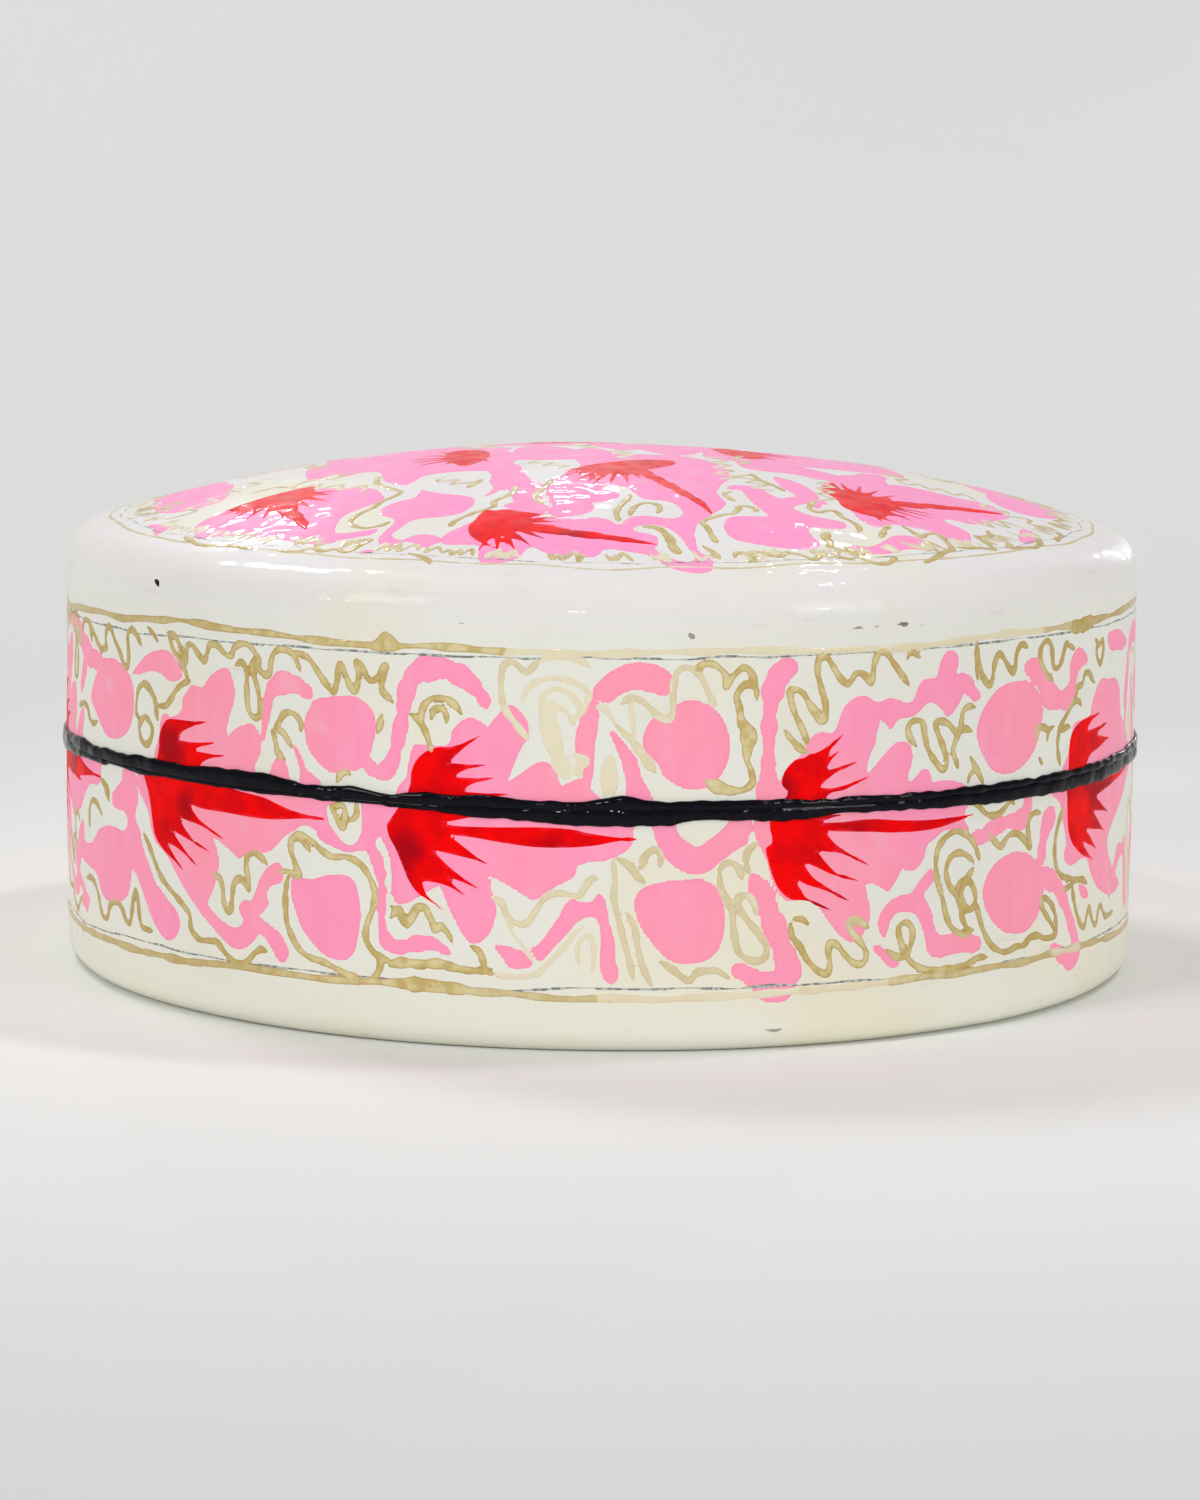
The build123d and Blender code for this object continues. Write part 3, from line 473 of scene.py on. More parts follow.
FLOWER_E = {
    "pink": [
        Stroke([(42, 31.4, 1.6), (43.4, 31.1, 2.0), (44.6, 29.8, 2.0), (45.8, 28.5, 2.2), (47.6, 28, 2.0),
                (49.1, 28.3, 1.9), (49.6, 29.8, 1.5), (49.9, 31, 2.0), (51, 31.5, 1.8),
                (52.1, 31.1, 1.4)], 1.9, 0),
        Blob([(49.2, 20.9), (49.3, 23.5), (49.7, 25.2), (50.6, 25.9), (53, 25.9), (53.4, 26.8), (54, 27.8),
              (54.9, 28.8), (56, 29.2), (57.2, 29), (59.5, 28.8), (60.8, 28), (61.7, 26.8), (62, 25.3, T),
              (64, 24.2), (65.5, 23), (66, 20.9)]),
        Blob([(57, 33), (59, 33.3), (61, 33), (63, 32.2), (64, 31.5), (62, 31), (59.5, 31.2), (57.5, 31.5)]),
        Blob([(43.5, 20.9), (48.5, 20.9), (48.9, 19), (48.2, 18.6), (47, 19.2), (46, 19.8), (44.5, 20)]),
        Stroke([(46.6, 18.3, 1.6), (45.6, 17.2, 1.9), (44.9, 15.5, 1.4), (44.8, 13.8, 1.3)], 1.6, 0),
        Stroke([(44.8, 12.6, 2.0), (46.5, 12, 2.0), (48, 10.9, 1.7), (49.2, 9.2, 1.5), (50.4, 7.2, 1.4),
                (51.2, 5.5, 1.8), (50.4, 4.5, 2.2), (49, 4.8, 1.9), (47.6, 5.5, 1.3),
                (46.4, 6.1, 0.9)], 1.6, 0),
        Blob([(49, 21), (49, 15), (48.6, 14.4), (48.8, 13.4), (50, 12.8), (51.3, 13), (52.5, 13.2),
              (53.5, 12.8), (54, 11.9), (54.8, 11), (56, 10), (57.5, 9.4), (59, 8.9), (61, 8.6), (63, 8.8),
              (64, 9.4), (61.5, 10.8), (60.3, 12), (59.5, 12.6), (58.8, 14, T), (60, 15), (62, 16), (64, 17),
              (66, 18.5), (67, 21)]),
        Blob([(51.5, 11), (52.5, 10.9), (53.6, 10.2), (53.8, 9.5), (52.8, 9.4), (52, 9.9)]),
    ],
    "red": [
        Blob([(49.5, 20.9), (49.2, 23), (49.4, 24.3), (50.1, 25.2), (51.3, 25.7), (53, 26), (55, 26, T),
              (53.6, 25.5), (52.4, 24.7, T), (57, 24.9, T), (54.5, 24.2, T), (57.8, 23.5, T), (55.5, 22.9),
              (53.4, 22.4), (52, 20.9)]),
        Blob([(48.3, 20.9, T), (49, 19.5), (49.1, 18.3), (49.2, 17.1), (49.5, 15.9), (50.2, 14.9),
              (51.3, 14.1), (52.7, 13.4), (54.3, 13, T), (52.8, 14.2), (51.9, 15, T), (53.2, 14.5),
              (55.3, 13.8, T), (53.9, 15.1), (52.6, 15.9, T), (57.3, 15.2, T), (55.4, 16.6), (54.4, 17.3, T),
              (58.2, 16.8, T), (56.4, 17.8), (55, 18.5, T), (57, 18.8), (60, 19.1), (63, 19.4), (67, 20, T),
              (63, 20.8)]),
    ],
    "gilt": strokes(
        0.64, 0,
        [(46, 29.9), (45, 30.6), (44.1, 31.7), (44, 32.8), (44.7, 33.5), (45.4, 33.3), (45.8, 32.4),
         (46, 31.3), (46.6, 30.9), (47.3, 31.4), (47.7, 32.3), (48.1, 33), (48.8, 32.7), (49.6, 32.4)],
        [(43.7, 24.8), (43.8, 25.8), (44.6, 25.9), (45.6, 25.6), (46.4, 25.8)],
        [(45.6, 25.6), (45.4, 24.7)],
        [(44.2, 23.2), (44.7, 22.6)],
        [(47.7, 22.2), (47.2, 23.6), (47.3, 25.2), (48, 26.1), (49, 26.9), (49.8, 27.6), (50.8, 27.6),
         (51.4, 27.1)],
        [(47.6, 25.2), (48.7, 25.5), (49.3, 25.4)],
        [(50.3, 28), (50.5, 28.9), (51.4, 29), (51.9, 29.9), (52.8, 29.9), (53.6, 29.2), (54.1, 28.9)],
        [(54, 32.8), (54.8, 32.2), (55.8, 32.6), (55.9, 31.5), (55.3, 30.5), (54.6, 31), (54.2, 32)],
        [(48.4, 18.3), (47.7, 17.2), (47.1, 15.8), (47, 14.3), (47.4, 13), (48.3, 12.2), (49.6, 11.8),
         (51, 11.5), (52.4, 11.3), (53.5, 10.8)],
        [(48.7, 10.9), (50, 11.1), (51, 11.4)],
        [(50.3, 10.9), (50.7, 9.7), (51.3, 8.4), (52.1, 7.3), (53, 6.9), (53.5, 7.8), (54.1, 8.5),
         (54.7, 7.6), (55.4, 6.8), (56.1, 6.8), (56.5, 7.7), (57.2, 8.3), (58, 7.6), (58.8, 7), (60, 6.9),
         (61.5, 7)],
        [(47.1, 7.6), (46, 8.7), (45, 9.8), (44.8, 10.5), (45.5, 10.6), (46.6, 9.8), (47.3, 8.7), (47.4, 7.3),
         (46.7, 6.9), (45.4, 7), (44.2, 7.4), (43, 7.3), (42, 6.8)],
    ),
}

# Ten flowers go round the side, each with its disc: four as seen from the front, and six repeats by the
# same hand further round. A repeat is (motif, way along the side), and no two come out quite alike.
SEEN = (DISC_A, FLOWER_B, DISC_B, FLOWER_C, DISC_C, FLOWER_D, DISC_D, FLOWER_E)
REPEATS = (
    (DISC_C, 65.7), (FLOWER_C, 97.5), (DISC_C, 97.5), (FLOWER_D, 96), (DISC_D, 96), (FLOWER_B, 189.5),
    (DISC_B, 189.5), (FLOWER_C, 191.5), (DISC_C, 191.5), (FLOWER_D, 191), (DISC_D, 191), (FLOWER_B, 283.5),
)

# Lines round the side, as (u, z)
UPPER_GILT = ((-65, 33.5), (-60, 33.9), (-50, 34.1), (-45, 34.5), (-42, 34.8), (-37, 34.6), (-31, 34.5),
              (-21, 34.2), (-15, 34.5), (-10, 34.3), (0, 34.2), (10, 34.4), (20, 34.3), (30, 34.2),
              (35, 34.5), (50, 34.5), (65, 34.8), (100, 34.4), (135, 34.7), (170, 34.2), (205, 34.6))
LOWER_GILT = ((-60, 4.5), (-50, 4.6), (-40, 4.8), (-33, 5.3), (-28, 5.1), (-15, 5.4), (-5, 4.9), (5, 4.7),
              (15, 5.1), (30, 5.3), (50, 5.4), (65, 4.7), (95, 4.9), (130, 5.3), (165, 4.8), (210, 5.1))
# How faint those two gilt lines are, as (u, faintness)
UPPER_FAINT = ((-60, 0.3), (-48, 0.15), (-18, 0.1), (-14, 0.7), (-4, 0.85), (20, 0.75), (40, 0.8), (47, 0.05),
               (56, 0.2), (90, 0.7), (150, 0.2), (210, 0.7))
LOWER_FAINT = ((-60, 0.3), (-26, 0.1), (-16, 0.4), (-8, 0.3), (2, 0.85), (16, 0.8), (24, 0.3), (50, 0.25),
               (110, 0.7), (160, 0.2), (210, 0.6))
# Pencil lines beside them, as (u, z)
UPPER_PENCIL = ((-60, 32.9), (-50, 33.0), (-40, 33.3), (-30, 33.6), (-12, 33.7), (-5, 33.8), (40, 34.0),
                (60, 33.9), (100, 33.6), (150, 33.8), (200, 33.4))
LOWER_PENCIL = ((-60, 5.1), (-50, 5.5), (-20, 5.7), (-8, 5.3), (-2, 5.7), (25, 5.6), (60, 5.5), (110, 5.7),
                (160, 5.4), (210, 5.6))

# The black line where base and lid meet, as (u, lower edge, upper edge)
BLACK_LINE = ((-78, 19.4, 21.5), (-70, 19.7, 21.6), (-65, 20.1, 21.9), (-60, 20.4, 22.1), (-55, 20.5, 21.9),
              (-50, 20.6, 22.0), (-45, 20.6, 22.2), (-40, 20.7, 22.1), (-34, 20.7, 22.5), (-30, 20.6, 22.3),
              (-27, 20.7, 21.9), (-22, 20.7, 22.0), (-18, 20.6, 21.7), (-15, 20.5, 21.9), (-12, 20.2, 22.0),
              (-10, 20.1, 22.0), (-5, 19.8, 21.6), (-2, 19.6, 21.7), (2, 19.6, 22.1), (6, 19.6, 21.7),
              (8, 20.1, 21.7), (12, 20.0, 21.8), (18, 19.9, 21.6), (21, 20.2, 21.7), (24, 20.3, 21.6),
              (30, 20.1, 21.6), (34, 19.9, 21.6), (38, 19.9, 21.6), (46, 19.8, 21.6), (60, 19.9, 21.7),
              (80, 20.1, 21.9), (105, 20.4, 22.1), (130, 20.0, 21.6), (160, 20.3, 22.0), (185, 19.9, 21.7),
              (210, 20.4, 22.1), (230, 20.2, 21.8))

# The near half of the lid's paint. The middle of the lid is seen too flat to trace and is filled in to suit.
DOME = {
    "pink": [
        Blob([(-34.5, -19.3), (-35.9, -20.8), (-36.5, -22.8), (-36.2, -24.8), (-35.6, -26.2), (-34.6, -27),
              (-32, -27.5), (-31, -29), (-30.5, -30.8), (-29.5, -30.8), (-29, -29), (-28, -28.5),
              (-27.5, -30), (-27, -32), (-26.8, -33.6), (-25, -34.9), (-24, -35.6), (-22.5, -35.7),
              (-21, -35.4), (-20, -35.2), (-19.4, -33.6), (-20.8, -33.6), (-22, -33.7), (-23.2, -33.2),
              (-23.5, -31.5), (-23.4, -30), (-23.3, -28.6), (-22.6, -27.6), (-22.4, -26.4), (-22.8, -25.4),
              (-21.8, -24.8), (-20.4, -24.2), (-19.8, -23), (-20, -21.8), (-21, -20.8), (-22, -19.8),
              (-22.4, -18.3), (-23.4, -17), (-24.8, -16.5), (-26.5, -14.6), (-30, -15.4)]),
        Blob([(-16.3, -21, T), (-15.8, -22), (-14.8, -23.2), (-13.6, -24.2), (-12.2, -25.2), (-11.4, -26.2),
              (-11.2, -27.8), (-11.5, -29.3), (-12.1, -30.6), (-13, -31.4), (-14.5, -31.7), (-16, -31.8),
              (-16.8, -32.4), (-17.3, -33.6), (-17.8, -34.8), (-18.1, -36), (-17.3, -37.3), (-16.6, -36.6),
              (-15.9, -36.2), (-15, -36.3), (-14.2, -37), (-13.9, -38.1), (-14.3, -39.2), (-15.2, -39.9),
              (-15.9, -39.6), (-16.2, -38.7), (-16.9, -38), (-18, -38.7), (-19, -38.7), (-19.3, -37.8),
              (-19.4, -36.3), (-18.9, -34.5), (-18.2, -32), (-18.5, -30.8), (-19.3, -29.8), (-19.6, -28.5),
              (-19.5, -27.2), (-18.8, -26), (-18, -25.2), (-16.9, -24.6), (-16.5, -23.4)]),
        Stroke([(-20.5, -39.6), (-19.9, -39.6)], 1.6, 0),
        Blob([(-26, 0), (-22, -7), (-20, -12), (-19.6, -14), (-19.5, -16), (-18.8, -18), (-17.9, -19.3),
              (-17, -18.2), (-16.4, -16.5), (-15.5, -15.5), (-14, -15), (-12, -15), (-10.5, -15.5),
              (-10, -17), (-9.8, -20), (-10, -23.8), (-10.6, -26), (-9.6, -25), (-8.9, -23), (-8.6, -20.5),
              (-8.3, -14), (-8, -6), (-10, 0), (-18, 1)]),
        Blob([(-7.4, -19), (-6.2, -20), (-6, -22), (-6, -24), (-6.8, -25), (-7.5, -23.5), (-8, -21.5)]),
        Blob([(-7, -27), (-6.3, -28.4), (-6.1, -29.8), (-6.6, -30.6), (-8, -30.2), (-8.8, -29.3),
              (-8, -28.2)]),
        Blob([(-4.6, -20), (-3.8, -21.5), (-3.6, -24), (-3.6, -25.6), (-4.4, -27), (-5, -26), (-5, -24),
              (-5.2, -22)]),
        Blob([(-12.5, -35), (-13.3, -36), (-13.9, -37.5), (-13.9, -38.8), (-13.2, -39.6), (-12, -39.7),
              (-10.9, -39.9), (-10.6, -41), (-10.6, -42.8), (-10.4, -44.2), (-9.4, -44.6), (-8.2, -44.4),
              (-7.3, -43.6), (-6.8, -42.6), (-6.5, -41.4), (-6.1, -40.6, T), (-5, -42), (-4.2, -42.7),
              (-3.4, -42.8), (-2.7, -42.4), (-2, -42.7), (-1.3, -43.3), (-0.6, -43.1), (-0.1, -42.3),
              (0.2, -41.4), (1.2, -41.4), (2.4, -41.9), (3.6, -42.4), (4.5, -43.2), (5, -44.2), (5.6, -45.2),
              (6.6, -45.9), (7.8, -46.3), (8.8, -46), (9.4, -45.2), (9.5, -44), (9.4, -43), (8.9, -42),
              (8.4, -41.2), (8.2, -40), (8.1, -38.5), (8, -37), (8.1, -35.5), (8.3, -34), (8.9, -32.8),
              (9.4, -31.6), (9.9, -30.4), (10.4, -29.4), (10.8, -28.2), (10.9, -27), (10.6, -25.8),
              (10.3, -24.6), (10.2, -23), (10.5, -21.5), (10.6, -20), (11.5, -16), (11, -10), (8, -5),
              (3, -4.5), (0, -6), (-2, -12), (-2.4, -17), (-2, -22), (-1.5, -25), (-0.6, -24.6), (0.5, -22.5),
              (2, -23), (2.5, -24.6), (3, -26), (3.8, -27.2), (5.6, -27.6), (6.6, -29.2), (6.9, -31),
              (6.5, -32.2), (5.6, -32.5), (4.5, -32.1), (3.4, -32), (2.5, -32.5), (1.9, -33.5), (1.4, -34.8),
              (0.9, -34.1), (0.3, -33.2), (-0.8, -32.9), (-2, -33.2), (-5, -33), (-7, -30.6), (-9, -30.4),
              (-11, -33)]),
        Hole([(3, -35.2), (2.7, -35.9), (3.2, -36.6), (4.2, -37.1), (4.8, -37.9), (4.9, -39.5), (4.6, -40.8),
              (5, -41.7), (5.8, -42.8), (6.6, -43.5), (7.4, -43.6), (7.8, -43), (7.7, -41.8), (7.2, -40.2),
              (6.9, -38.6), (6.4, -37), (5.9, -35.9), (5.2, -35), (4.2, -34.6)]),
        Blob([(-4.9, -31.5), (-4.6, -29.9), (-3.8, -28.8), (-3, -27.8), (-2.1, -27.6), (-1.2, -28.3),
              (-0.7, -29.4), (-0.8, -30.8), (-1.4, -31.9), (-2.2, -32.6), (-4, -33)]),
        Blob([(10.8, -31.8), (11.8, -31), (13.2, -30.7), (14.6, -30.2), (14.8, -29), (14.6, -28),
              (14.3, -26.5), (14, -25), (13.8, -23.5), (13.2, -22.5), (12.2, -22), (11, -21.8), (11.2, -20.2),
              (12, -19.4), (13.5, -19.3), (14.3, -20.3), (14.6, -21.5), (15.2, -23), (15.9, -23.9, T),
              (16.7, -22.8), (17.8, -22.1), (19, -22.2), (19.8, -23.2), (19.9, -24.4), (18, -25),
              (16.9, -26.8), (17.4, -28), (18.3, -28.8), (19.6, -29.2), (20.9, -29.5), (21.4, -30.4),
              (21.2, -31.4), (20.3, -32.1), (19, -32.3), (18.2, -32.4), (18, -33.5), (18.3, -35),
              (18.8, -36.2), (18.6, -37.4), (17.6, -38.4), (16.2, -38.8), (14.5, -38.7), (13, -38.3),
              (11.6, -37.7), (10.8, -36.5), (10.5, -35), (10.5, -33.4)]),
        Blob([(28.6, -31.3), (28.9, -32.5), (28.7, -33.6), (27.8, -34), (26.8, -34.3), (25.8, -35.2),
              (24.8, -36.5), (23.5, -37.2), (22.2, -37.3), (21.3, -36.9), (21.6, -35.7), (22.8, -35.6),
              (23.6, -34.8), (24.4, -33.3), (25.2, -31.6), (26.3, -30.7), (27.6, -30.5)]),
        Blob([(22, -8), (20.6, -12), (19.6, -16), (20.5, -21), (22, -26), (22.3, -27.6), (23, -29),
              (24, -29.7), (25, -28.5), (26, -27.8), (28, -27.6, T), (29, -27.9), (30.2, -29), (31.2, -29.4),
              (32.2, -28.6), (32.6, -27), (32.5, -25.2), (31.6, -23.8), (30.6, -22.8), (30.5, -21.9, T),
              (31.5, -21.5), (32.8, -21.6), (33.8, -20.5), (35, -18.4), (36, -16), (37, -14), (37, -11.5),
              (34.5, -10), (27, -9), (25.6, -13, T), (25, -8)]),
        Blob([(37.8, -17.8), (38.9, -18), (39.1, -19.8), (38.8, -21.8), (38.2, -23.6), (37.3, -24.2),
              (37, -22.5), (37.3, -20)]),
        Blob([(-41.6, 1), (-41.4, -8), (-40, -13), (-37, -15), (-34.6, -13), (-34.2, -7), (-35.2, 0)]),
        Blob([(-27.6, 1), (-27.4, -8), (-26.4, -11.4), (-24.6, -9.4), (-23.6, -12), (-22, -10.6),
              (-20.4, -12), (-19.8, -16.6), (-17.8, -19), (-16.8, -16), (-14.4, -15), (-11.2, -14.6),
              (-10.2, -17), (-10.2, -21), (-8.8, -24), (-7.8, -19), (-7.4, -13.4), (-8.8, -10), (-9.4, -4),
              (-9, 4), (-17, 5.6), (-25, 4)]),
        Blob([(-3.2, -3), (-2.6, -9), (-1.8, -13), (0.4, -12), (1, -7), (0.6, -2), (-1.4, 1)]),
        Blob([(2.4, 9), (2.6, 3), (4.4, -2), (6.4, -4.6), (8.4, -2), (9.2, 3), (9, 9)]),
        Blob([(13.4, 8), (13.5, -2), (15, -6), (17, -6.6), (19, -5), (20.2, -1), (20.4, 9), (17, 12)]),
        Blob([(21.4, -15), (22.4, -9), (24, -5), (26.2, -4.6), (26, -9), (27, -11.6), (29, -9.4),
              (31.4, -10.4), (34, -9), (36, -9.6), (36.6, -13), (30, -17)]),
        Blob([(35.6, -2), (36.4, -7.6), (39, -9.4), (42, -6), (42.6, 1), (38, 3)]),
        Stroke([(-41, -17, 0.6), (-39.6, -19.4, 1.6), (-40, -22, 0.8)], 1, 0),
        Blob([(-36, -27), (-35.8, -23), (-34.4, -19), (-30, -17), (-25.6, -16.4), (-21, -18.6), (-19.6, -22),
              (-19.6, -24.4), (-22.6, -28), (-23.2, -32), (-23, -36), (-25.6, -35.4), (-30.4, -30.4),
              (-33.6, -28)]),
        Blob([(-8.6, -17), (-7.4, -15), (-6.6, -19), (-5.4, -22), (-5.2, -27), (-4.8, -31), (-6.4, -33),
              (-7.6, -30), (-8.6, -22)]),
        Blob([(-5, -22.5), (-3.3, -17), (-1.8, -14), (-1.5, -22), (0.4, -24), (1.6, -26), (0, -28.2),
              (-3.2, -29), (-4.4, -30)]),
        Blob([(12.5, -2.5), (16.5, -4.5), (20.5, -7.5), (22, -10), (20, -12.4), (17.5, -11), (14.5, -11),
              (12.5, -9)]),
        Blob([(15.4, -13.5), (17.6, -15.5), (19, -19.5), (19.5, -24.5), (18.8, -26.4), (17.8, -24),
              (16.8, -21), (15.8, -18)]),
        Blob([(21.6, -16), (22.5, -12), (24, -10.5), (25.4, -11.6), (25.8, -15.4), (27, -14), (28.5, -14.4),
              (30.5, -15.4), (32.5, -16.6), (30, -20.5), (26, -21.5)]),
        Blob([(12.4, -22), (13.5, -22.3), (14.6, -24.5), (15.5, -28.5), (15, -31), (14, -29), (13, -26)]),
    ],
    "red": [
        Blob([(-34, -18.8, T), (-33, -17.7), (-31.5, -16.6), (-29.8, -15.5), (-28, -14.8), (-26.5, -14.4),
              (-25.6, -15.2), (-26, -17), (-24.2, -19.5, T), (-26.4, -18.6, T), (-25, -21, T),
              (-27.4, -19.4, T), (-30, -23, T), (-29.6, -20, T), (-31.3, -22.5, T), (-31.2, -19.8, T),
              (-33, -21, T), (-32.8, -19.6)]),
        Stroke([(-28.8, -18, 3), (-28.4, -21, 2.2), (-27.9, -23.5, 1.6), (-27.1, -26, 1.2), (-26.4, -28.5, 1),
                (-25.9, -31, 0.3)], 1, 0),
        *fan((-29, -16.4), 0.8, (-24.2, -22.4), (-25.8, -23.6), (-27, -24.6), (-28.4, -25.4), (-30.2, -25),
             (-31.8, -24), (-33.2, -22.6), (-34.6, -20.6), (-23.6, -18.4)),
        Blob([(-10.3, -30.2, T), (-10.9, -32), (-11.2, -33.4), (-11.6, -34.6), (-11.6, -36), (-11.4, -37.2),
              (-11, -38.3), (-10.4, -39.3), (-9.3, -40.7, T), (-9.9, -39.2), (-9.9, -37.6, T), (-9.4, -38.2),
              (-7.8, -40.2, T), (-8.6, -38.6), (-9, -37.4, T), (-6.6, -39.3, T), (-7.6, -37.8),
              (-7.9, -36.8, T), (-6.4, -34.6, T), (-4.7, -34, T), (-6.2, -33.3), (-5.5, -32, T),
              (-7.2, -31.2), (-8.2, -30.6), (-9.3, -30.6)]),
        Stroke([(-8, -35.2, 2.4), (-5.5, -36, 1.9), (-3, -37.1, 1.7), (-1, -37.8, 1.6), (1, -38.5, 1.3),
                (3, -39.2, 0.9), (4.6, -39.8, 0.3)], 1, 0),
        *fan((-9, -34.4), 0.7, (-4.4, -31.6), (-3.4, -32.8), (-3.6, -34.2), (-4.2, -35.2), (-4.8, -38.8),
             (-6, -40.6), (-7.4, -41.6), (-9, -42), (-10.6, -41.4), (-11, -31.8)),
        Blob([(6.3, -8.5), (6.6, -10), (6, -11.6), (5, -12.8), (4.2, -14), (2.6, -15.5, T), (2, -20, T),
              (1.2, -15.4, T), (-1.4, -21, T), (-0.8, -16, T), (-2.3, -18.5, T), (-2, -15.8, T),
              (-3.6, -17.2, T), (-2.4, -14.5), (-1, -12.2), (0.8, -10.3), (2.6, -8.9), (4.4, -8.2)]),
        Stroke([(2.5, -14, 2.6), (4, -17, 1.6), (5.2, -20, 1.4), (6.2, -22.5, 1.3), (7.3, -25, 1.1),
                (8.3, -27, 0.9), (9, -29, 0.6), (9.5, -30.8, 0.2)], 1, 0),
        Blob([(-14.4, 1), (-14.6, -5), (-13.8, -9.4), (-12.6, -12), (-11.4, -9.6), (-10.6, -6), (-10.8, -1),
              (-12.4, 2)]),
        *fan((-12, -5), 1.2, (-17, -9.4), (-18, -6.6), (-18.2, -3.6), (-17, -0.6), (-15.6, 2)),
        *fan((1.6, -11.4), 0.8, (-4, -19), (-2.6, -21), (-1, -22.6), (0.6, -22), (2.2, -21.4), (3.4, -19.6),
             (-4.6, -16.6)),
        Blob([(-15, -5), (-14, -3.4), (-12.4, -3), (-11, -3.8), (-10.4, -5.2), (-10.8, -7), (-10.5, -9.5, T),
              (-11.6, -8, T), (-12.5, -12.5, T), (-13, -8.2, T), (-14.6, -10, T), (-14.3, -7.4)]),
        Blob([(20.9, -13.2, T), (20, -15.4), (19.5, -17.5), (19.8, -19), (20.5, -20.5), (20.9, -22),
              (21, -23.3), (21.3, -24.6), (22.2, -25.6), (23.2, -26.2), (26, -27.2, T), (25, -26.2),
              (25.3, -25, T), (27, -24.2, T), (25.5, -23.6), (26.2, -22, T), (25.4, -21), (26, -17.6),
              (25.7, -16.8, T), (24.3, -17.6, T), (24, -15.9, T), (23, -17, T), (22.4, -15.2, T),
              (21.6, -17, T)]),
        Stroke([(24.5, -20, 3), (27, -18.9, 2.2), (29.5, -17.2, 1.8), (32, -15.6, 1.5), (34.5, -14, 1.2),
                (36.5, -12.6, 0.4)], 1, 0),
        *fan((22.6, -21), 0.8, (27.6, -25.6), (28.8, -24), (29.6, -22.4), (29.8, -21), (29.4, -19), (28, -17),
             (26.6, -15), (25, -13.8), (23.4, -12.8), (21.6, -12.4), (24.6, -27.8)),
    ],
    "gilt": strokes(
        0.64, 0,
        [(13.4, -13), (13.8, -14.8), (14.6, -17), (15.6, -18.8), (16.2, -20.5)],
        [(18.8, -23.5), (18.4, -25), (18.2, -26.5), (18.9, -27.5), (20, -26.4), (20.6, -26.5), (21, -28),
         (22, -29.4), (22.4, -30.6), (22.3, -32)],
        [(24.2, -32.5), (24.5, -31), (24.8, -29.6), (25.2, -28.6)],
        [(26.4, -27.8), (27.2, -29.2), (27.8, -30.2), (28.4, -29), (29.2, -28.2), (29.9, -29.2),
         (30.3, -30.6), (30.5, -32), (29.9, -33), (29.2, -34.5), (28.5, -36), (27.8, -37.2)],
        [(31, -31), (32.2, -30.3), (33.2, -29.4), (34.4, -29), (34.2, -28), (33.6, -27), (33, -25.8),
         (33.8, -25.4), (34.4, -24.2), (34.3, -22.6)],
        [(35.6, -24.6), (36, -25.8), (35.9, -27), (37, -26), (38.4, -24.6), (39, -22.6), (39.1, -20.2)],
        [(41.4, -14.6), (41.5, -16.4), (41, -18), (40.9, -19.4)],
        [(19.6, -33.2, 0.9), (19.3, -34.6, 0.9), (19.7, -36, 0.9), (19.5, -37.2, 0.9)],
        [(13, -42.3), (12.6, -40.6), (13.6, -40.4), (15, -41), (15.8, -39.8), (17, -40), (18, -40.8),
         (18.6, -39.8), (18.8, -38.8), (20, -39.2), (21.6, -39.5)],
        [(21, -37.5), (21.6, -38.2), (22.6, -39), (24, -39.5), (24.9, -38.2), (25.3, -37)],
        [(-7.8, -22.5), (-8, -25), (-9, -26.8), (-9.6, -28), (-9.6, -29.5), (-11, -30.8), (-12, -32),
         (-12.9, -33.2), (-13.2, -34.5)],
        [(-4.6, -20), (-5.2, -23), (-5.9, -25.5), (-5.8, -27.5), (-5.2, -29)],
        [(2.4, -32.2), (2.5, -30.8), (3, -29), (3.8, -28.2), (4.7, -28.6), (5, -29.8), (4.8, -31.2)],
        [(2.4, -25.5), (2.2, -27), (1.7, -28.8), (1.3, -30.5), (1.2, -32), (1.4, -33.8)],
        [(3.6, -35.2, 0.9), (4.6, -35.3, 0.9), (5.3, -36.5, 0.9), (5.8, -38.2, 0.9), (6, -40, 1),
         (6.5, -41.8, 0.9)],
        [(11.6, -26.5), (11, -25), (10.8, -23.5), (11.5, -22.8)],
        [(11.9, -29.4), (12, -28), (12.7, -27.8), (13.4, -28.6), (13.4, -29.3)],
        [(11.8, -29), (11.5, -30.3), (10.5, -30.9), (9.4, -32), (8.7, -33.2), (9.1, -34.8), (9.4, -36.6),
         (9.8, -38.6)],
        [(8.6, -39.6), (9.4, -41), (10, -42.6)],
        [(11.3, -42), (11.5, -40.8), (12.4, -41), (13, -42.2), (12.4, -43)],
        [(-16.5, -41), (-15, -42.5), (-14.6, -44)],
        [(-20.4, -14), (-20.4, -17), (-19.6, -19), (-18.6, -20.6), (-18, -21.8), (-18.6, -23.2),
         (-19.6, -24.8), (-20.3, -26.6), (-21.4, -28.2), (-22, -30), (-21.8, -31.6), (-20.8, -32.9),
         (-19.5, -32.8), (-18.6, -31.8)],
        [(-37, -25), (-36.4, -27), (-35.6, -29), (-34.5, -30.5), (-33, -31.5), (-31.5, -33), (-30.5, -34.3)],
        [(-28, -36), (-26.5, -37), (-25, -36.8), (-24, -38), (-23, -37.8), (-22, -39), (-21, -38),
         (-20, -36.5), (-22, -36.3)],
        [(-10.9, -19), (-11.5, -21), (-12, -22.2)],
        [(-41, -12), (-39.6, -11), (-40.4, -9.2), (-39, -8.4), (-40, -6.6), (-42, -7.4)],
